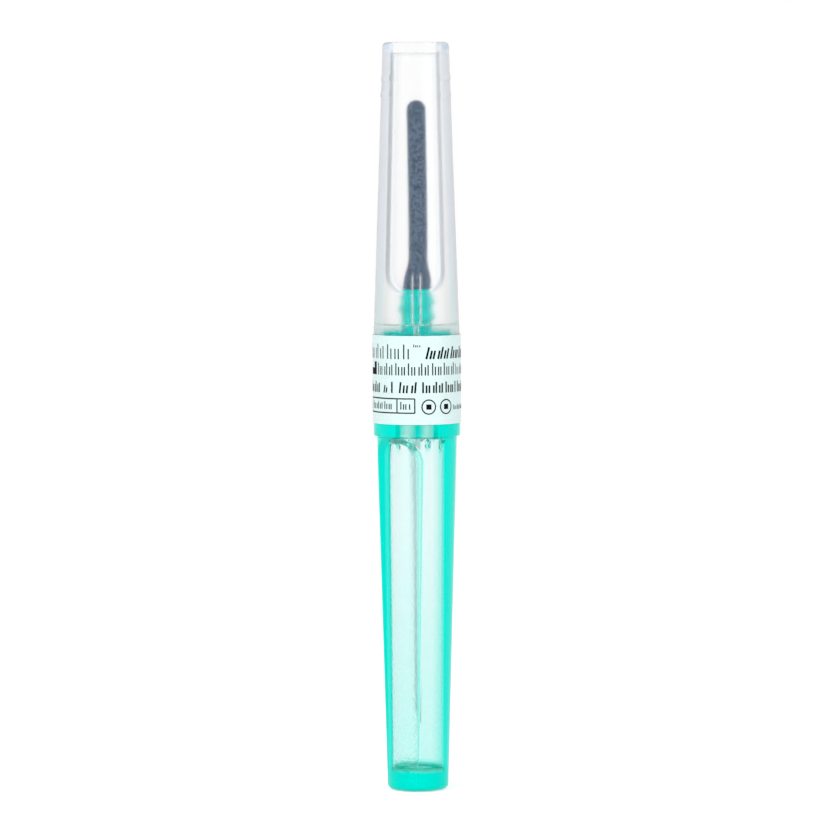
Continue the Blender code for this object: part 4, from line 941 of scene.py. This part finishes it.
skin_rough = add_node(tree, "Math", {"operation": "MULTIPLY_ADD", 1: HAZE_SHARE}, {0: haze, 2: moulded})
rough = add_node(tree, "Mix", {2: INNER_ROUGH}, {0: outside, 3: skin_rough})
body = add_node(tree, "BsdfPrincipled", {"IOR": POLYPROPYLENE_IOR, "Specular Tint": linear(CLEAR_SHEEN)},
                {"Base Color": colour.outputs[2], "Roughness": rough, "Normal": bump,
                 "Transmission Weight": clearness})
cast = add_node(tree, "VolumeAbsorption", {"Color": linear(CLEAR_BODY), "Density": CLEAR_DENSITY})
add_node(tree, "OutputMaterial", {}, {"Surface": body, "Volume": cast})
clear_cover.data.materials.append(clear)
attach(clear_cover, "rear_cap")
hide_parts("rear_cap")

# Label
# The paper seal over the joint of the caps: pale aqua coated paper, wrapped once round from a seam at the
# back, its end glued over its start. Turning the clear cap tears it, which shows that the needle is unused.
LABEL_R, LABEL_THICKNESS = COLLAR_R + BOND_GAP, 0.08 * MM
LABEL_Z, LABEL_TOP_Z = 44.20 * MM, 54.77 * MM
LABEL_SEAM, LABEL_OVERLAP, LABEL_LIFT = math.radians(168.0), math.radians(24.0), math.radians(9.0)
LABEL_STEP, LABEL_ROWS = math.radians(1.5), 8
points, faces = [], []
label_rows = [LABEL_Z + (LABEL_TOP_Z - LABEL_Z) * i / LABEL_ROWS for i in range(LABEL_ROWS + 1)]
section = [(0.0, z) for z in label_rows] + [(LABEL_THICKNESS, z) for z in reversed(label_rows)]
label_count = round((math.tau + LABEL_OVERLAP) / LABEL_STEP)
for i in range(label_count + 1):
    turn = i * LABEL_STEP
    rise = soft_ramp((turn - math.tau + LABEL_LIFT) / LABEL_LIFT, 0.2)
    inner = LABEL_R + (LABEL_THICKNESS + BOND_GAP) * rise
    points += [spot(inner + thickness, LABEL_SEAM + turn, z) for thickness, z in section]
width = len(section)
for i in range(label_count):
    for j in range(width):
        k = (j + 1) % width
        faces.append((i * width + j, i * width + k, (i + 1) * width + k, (i + 1) * width + j))
faces += [list(range(width)), list(range(label_count * width, (label_count + 1) * width))]
label_mesh = solid_mesh("paper_seal", points, faces)
label_mesh.shade_smooth()
label_mesh.set_sharp_from_angle(angle=math.radians(35))
paper_seal = link_object("paper_seal", label_mesh)

# Coated paper: a pale aqua tint, a soft shine and a fine fibre that mottles the colour a little.
PAPER, PAPER_DEEP = "#E9FAF9", "#D3F2F1"
FIBRE_SIZE, FIBRE_HEIGHT, FIBRE_SPREAD = 0.16 * MM, 0.01 * MM, (0.35, 0.75)
paper, tree = new_material("coated_label_paper")
coords = add_node(tree, "TexCoord")
fibre = add_node(tree, "TexNoise", {"Scale": 1 / FIBRE_SIZE, "Detail": 3.0}, {0: coords.outputs["Object"]})
speckle = add_node(tree, "MapRange", {1: FIBRE_SPREAD[0], 2: FIBRE_SPREAD[1]}, {0: fibre})
colour = add_node(tree, "Mix", {"data_type": "RGBA", 6: linear(PAPER), 7: linear(PAPER_DEEP)}, {0: speckle})
bump = add_node(tree, "Bump", {"Strength": 0.12, "Distance": FIBRE_HEIGHT}, {"Height": fibre})
body = add_node(tree, "BsdfPrincipled", {"Roughness": 0.45},
                {"Base Color": colour.outputs[2], "Normal": bump})
add_node(tree, "OutputMaterial", {}, {"Surface": body})
paper_seal.data.materials.append(paper)
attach(paper_seal, "front_cap")
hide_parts("label")

# Label print
# Printed on the seal in black ink before it is wrapped: rows of upright strokes, a framed field, a block and
# two ring marks. They are generic marks and say nothing. Places are counted along the paper from the front.
INK_UNDER, INK_OVER = 0.004 * MM, 0.010 * MM
PRINT_R, PRINT_STEP = LABEL_R + LABEL_THICKNESS, 0.25 * MM
# Strokes follow each other in this turn: the share of the distance to the next one, and of the height
STROKES = ((0.95, 1.0), (0.80, 0.7), (1.25, 0.7), (0.75, 0.7), (1.05, 1.0), (0.80, 0.7), (1.35, 0.86),
           (0.85, 1.0), (1.00, 0.7), (0.75, 0.7), (1.20, 0.7))
ROW_1, ROW_2, ROW_3, ROW_4 = 52.02 * MM, 50.08 * MM, 47.98 * MM, 45.60 * MM
# Each word: its start, end, foot, height, stroke width, distance from stroke to stroke, and lean. Apart from
# the foot and the lean they are in millimetres.
WORDS = (
    (-13.2, -8.4, ROW_1, 1.75, 0.15, 0.58, 0.00), (-7.8, -0.6, ROW_1, 1.75, 0.15, 0.58, 0.00),
    (-0.35, 0.45, ROW_1 + 1.42 * MM, 0.34, 0.11, 0.24, 0.00), (1.15, 7.4, ROW_1, 1.42, 0.25, 0.50, 0.24),
    (8.1, 12.9, ROW_1, 1.42, 0.25, 0.50, 0.24),
    (-13.2, -8.3, ROW_2, 1.45, 0.15, 0.42, 0.00), (-5.5, 5.1, ROW_2, 1.45, 0.15, 0.42, 0.00),
    (5.6, 12.9, ROW_2, 1.25, 0.10, 0.38, 0.00),
    (-13.2, -9.0, ROW_3, 1.32, 0.21, 0.44, 0.00), (-7.8, -4.8, ROW_3, 1.32, 0.21, 0.44, 0.00),
    (-4.4, -3.8, ROW_3, 0.90, 0.20, 0.38, 0.20), (-3.15, -2.95, ROW_3, 1.32, 0.22, 0.44, 0.00),
    (-2.1, 0.2, ROW_3, 1.32, 0.22, 0.50, 0.10), (0.75, 5.6, ROW_3, 1.32, 0.21, 0.44, 0.00),
    (6.1, 12.9, ROW_3, 1.32, 0.21, 0.44, 0.00),
    (-6.9, -2.9, ROW_4 + 0.42 * MM, 0.92, 0.14, 0.38, 0.00),
    (-1.95, -0.75, ROW_4 + 0.42 * MM, 0.92, 0.14, 0.36, 0.00),
    (5.1, 9.6, ROW_4 + 0.30 * MM, 0.62, 0.10, 0.28, 0.00),
    (-13.2, -8.6, ROW_4 + 0.30 * MM, 0.62, 0.10, 0.28, 0.00),
)
FRAME_LEFT, FRAME_DIVIDER, FRAME_RIGHT, FRAME_HEIGHT, FRAME_LINE = -7.7, -2.45, -0.25, 1.70, 0.15
RING_MARKS, RING_MARK_R, RING_MARK_Z, RING_LINE = (1.45, 3.80), 0.84, ROW_4 + 0.72 * MM, 0.15
RING_BAR_HALF, RING_BAR_HEIGHT, RING_STEPS = 0.32, 0.62, 28
BLOCK_LEFT, BLOCK_NOTCH, BLOCK_RIGHT, BLOCK_LOW, BLOCK_HIGH = -7.7, -6.6, -5.95, 0.80, 1.55
points, faces = [], []


def printed_line(path, width, ring=False):
    """Adds a thin closed solid of ink along a path of (along, z) on the paper."""
    first, count = len(points), len(path)
    for i, (along, z) in enumerate(path):
        before = path[i - 1] if ring or i else path[i]
        after = path[(i + 1) % count] if ring or i + 1 < count else path[i]
        run = math.hypot(after[0] - before[0], after[1] - before[1])
        aside = ((before[1] - after[1]) / run * width / 2, (after[0] - before[0]) / run * width / 2)
        for side, radius in ((-1, PRINT_R - INK_UNDER), (1, PRINT_R - INK_UNDER),
                             (1, PRINT_R + INK_OVER), (-1, PRINT_R + INK_OVER)):
            points.append(spot(radius, (along + side * aside[0]) / PRINT_R, z + side * aside[1]))
    for i in range(count if ring else count - 1):
        near, far = first + 4 * i, first + 4 * ((i + 1) % count)
        faces.extend((near + j, near + (j + 1) % 4, far + (j + 1) % 4, far + j) for j in range(4))
    if not ring:
        last = first + 4 * (count - 1)
        faces.extend(([first, first + 1, first + 2, first + 3], [last, last + 1, last + 2, last + 3]))


def straight(start, end, width):
    """A straight printed line, with points close enough to follow the paper round."""
    count = max(1, round(abs(end[0] - start[0]) / PRINT_STEP))
    printed_line([(between(start[0], end[0], i / count), between(start[1], end[1], i / count))
                  for i in range(count + 1)], width)


for start, end, foot, height, weight, pitch, lean in WORDS:
    along, turn = start, 0
    while along < end + 0.01:
        advance, rise = STROKES[turn % len(STROKES)]
        rise *= height
        straight((along * MM, foot), ((along + lean * rise) * MM, foot + rise * MM), weight * MM)
        along += advance * pitch
        turn += 1
for z in (ROW_4, ROW_4 + FRAME_HEIGHT * MM):
    straight((FRAME_LEFT * MM, z), (FRAME_RIGHT * MM, z), FRAME_LINE * MM)
for along in (FRAME_LEFT, FRAME_DIVIDER, FRAME_RIGHT):
    straight((along * MM, ROW_4), (along * MM, ROW_4 + FRAME_HEIGHT * MM), FRAME_LINE * MM)
for middle in RING_MARKS:
    turns = [math.tau * i / RING_STEPS for i in range(RING_STEPS)]
    printed_line([((middle + RING_MARK_R * math.cos(a)) * MM, RING_MARK_Z + RING_MARK_R * MM * math.sin(a))
                  for a in turns], RING_LINE * MM, ring=True)
    straight(((middle - RING_BAR_HALF) * MM, RING_MARK_Z), ((middle + RING_BAR_HALF) * MM, RING_MARK_Z),
             RING_BAR_HEIGHT * MM)
for left, right, height in ((BLOCK_LEFT, BLOCK_NOTCH, BLOCK_LOW), (BLOCK_NOTCH, BLOCK_RIGHT, BLOCK_HIGH)):
    z = ROW_2 + height * MM / 2
    straight((left * MM, z), (right * MM, z), height * MM)
label_print = link_object("label_print", solid_mesh("label_print", points, faces))

# Black flexographic ink: matt, a little worn and thin in spots, where the paper greys through.
INK, INK_WORN = "#020405", "#141C1E"
WORN_SIZE, WORN_SPREAD = 0.12 * MM, (0.50, 0.75)
ink, tree = new_material("black_label_ink")
coords = add_node(tree, "TexCoord")
cover = add_node(tree, "TexNoise", {"Scale": 1 / WORN_SIZE, "Detail": 2.0}, {0: coords.outputs["Object"]})
worn = add_node(tree, "MapRange", {1: WORN_SPREAD[0], 2: WORN_SPREAD[1]}, {0: cover})
colour = add_node(tree, "Mix", {"data_type": "RGBA", 6: linear(INK), 7: linear(INK_WORN)}, {0: worn})
body = add_node(tree, "BsdfPrincipled", {"Roughness": 0.7, "Specular IOR Level": 0.1},
                {"Base Color": colour.outputs[2]})
add_node(tree, "OutputMaterial", {}, {"Surface": body})
label_print.data.materials.append(ink)
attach(label_print, "front_cap")

# Scene update
bpy.context.view_layer.update()
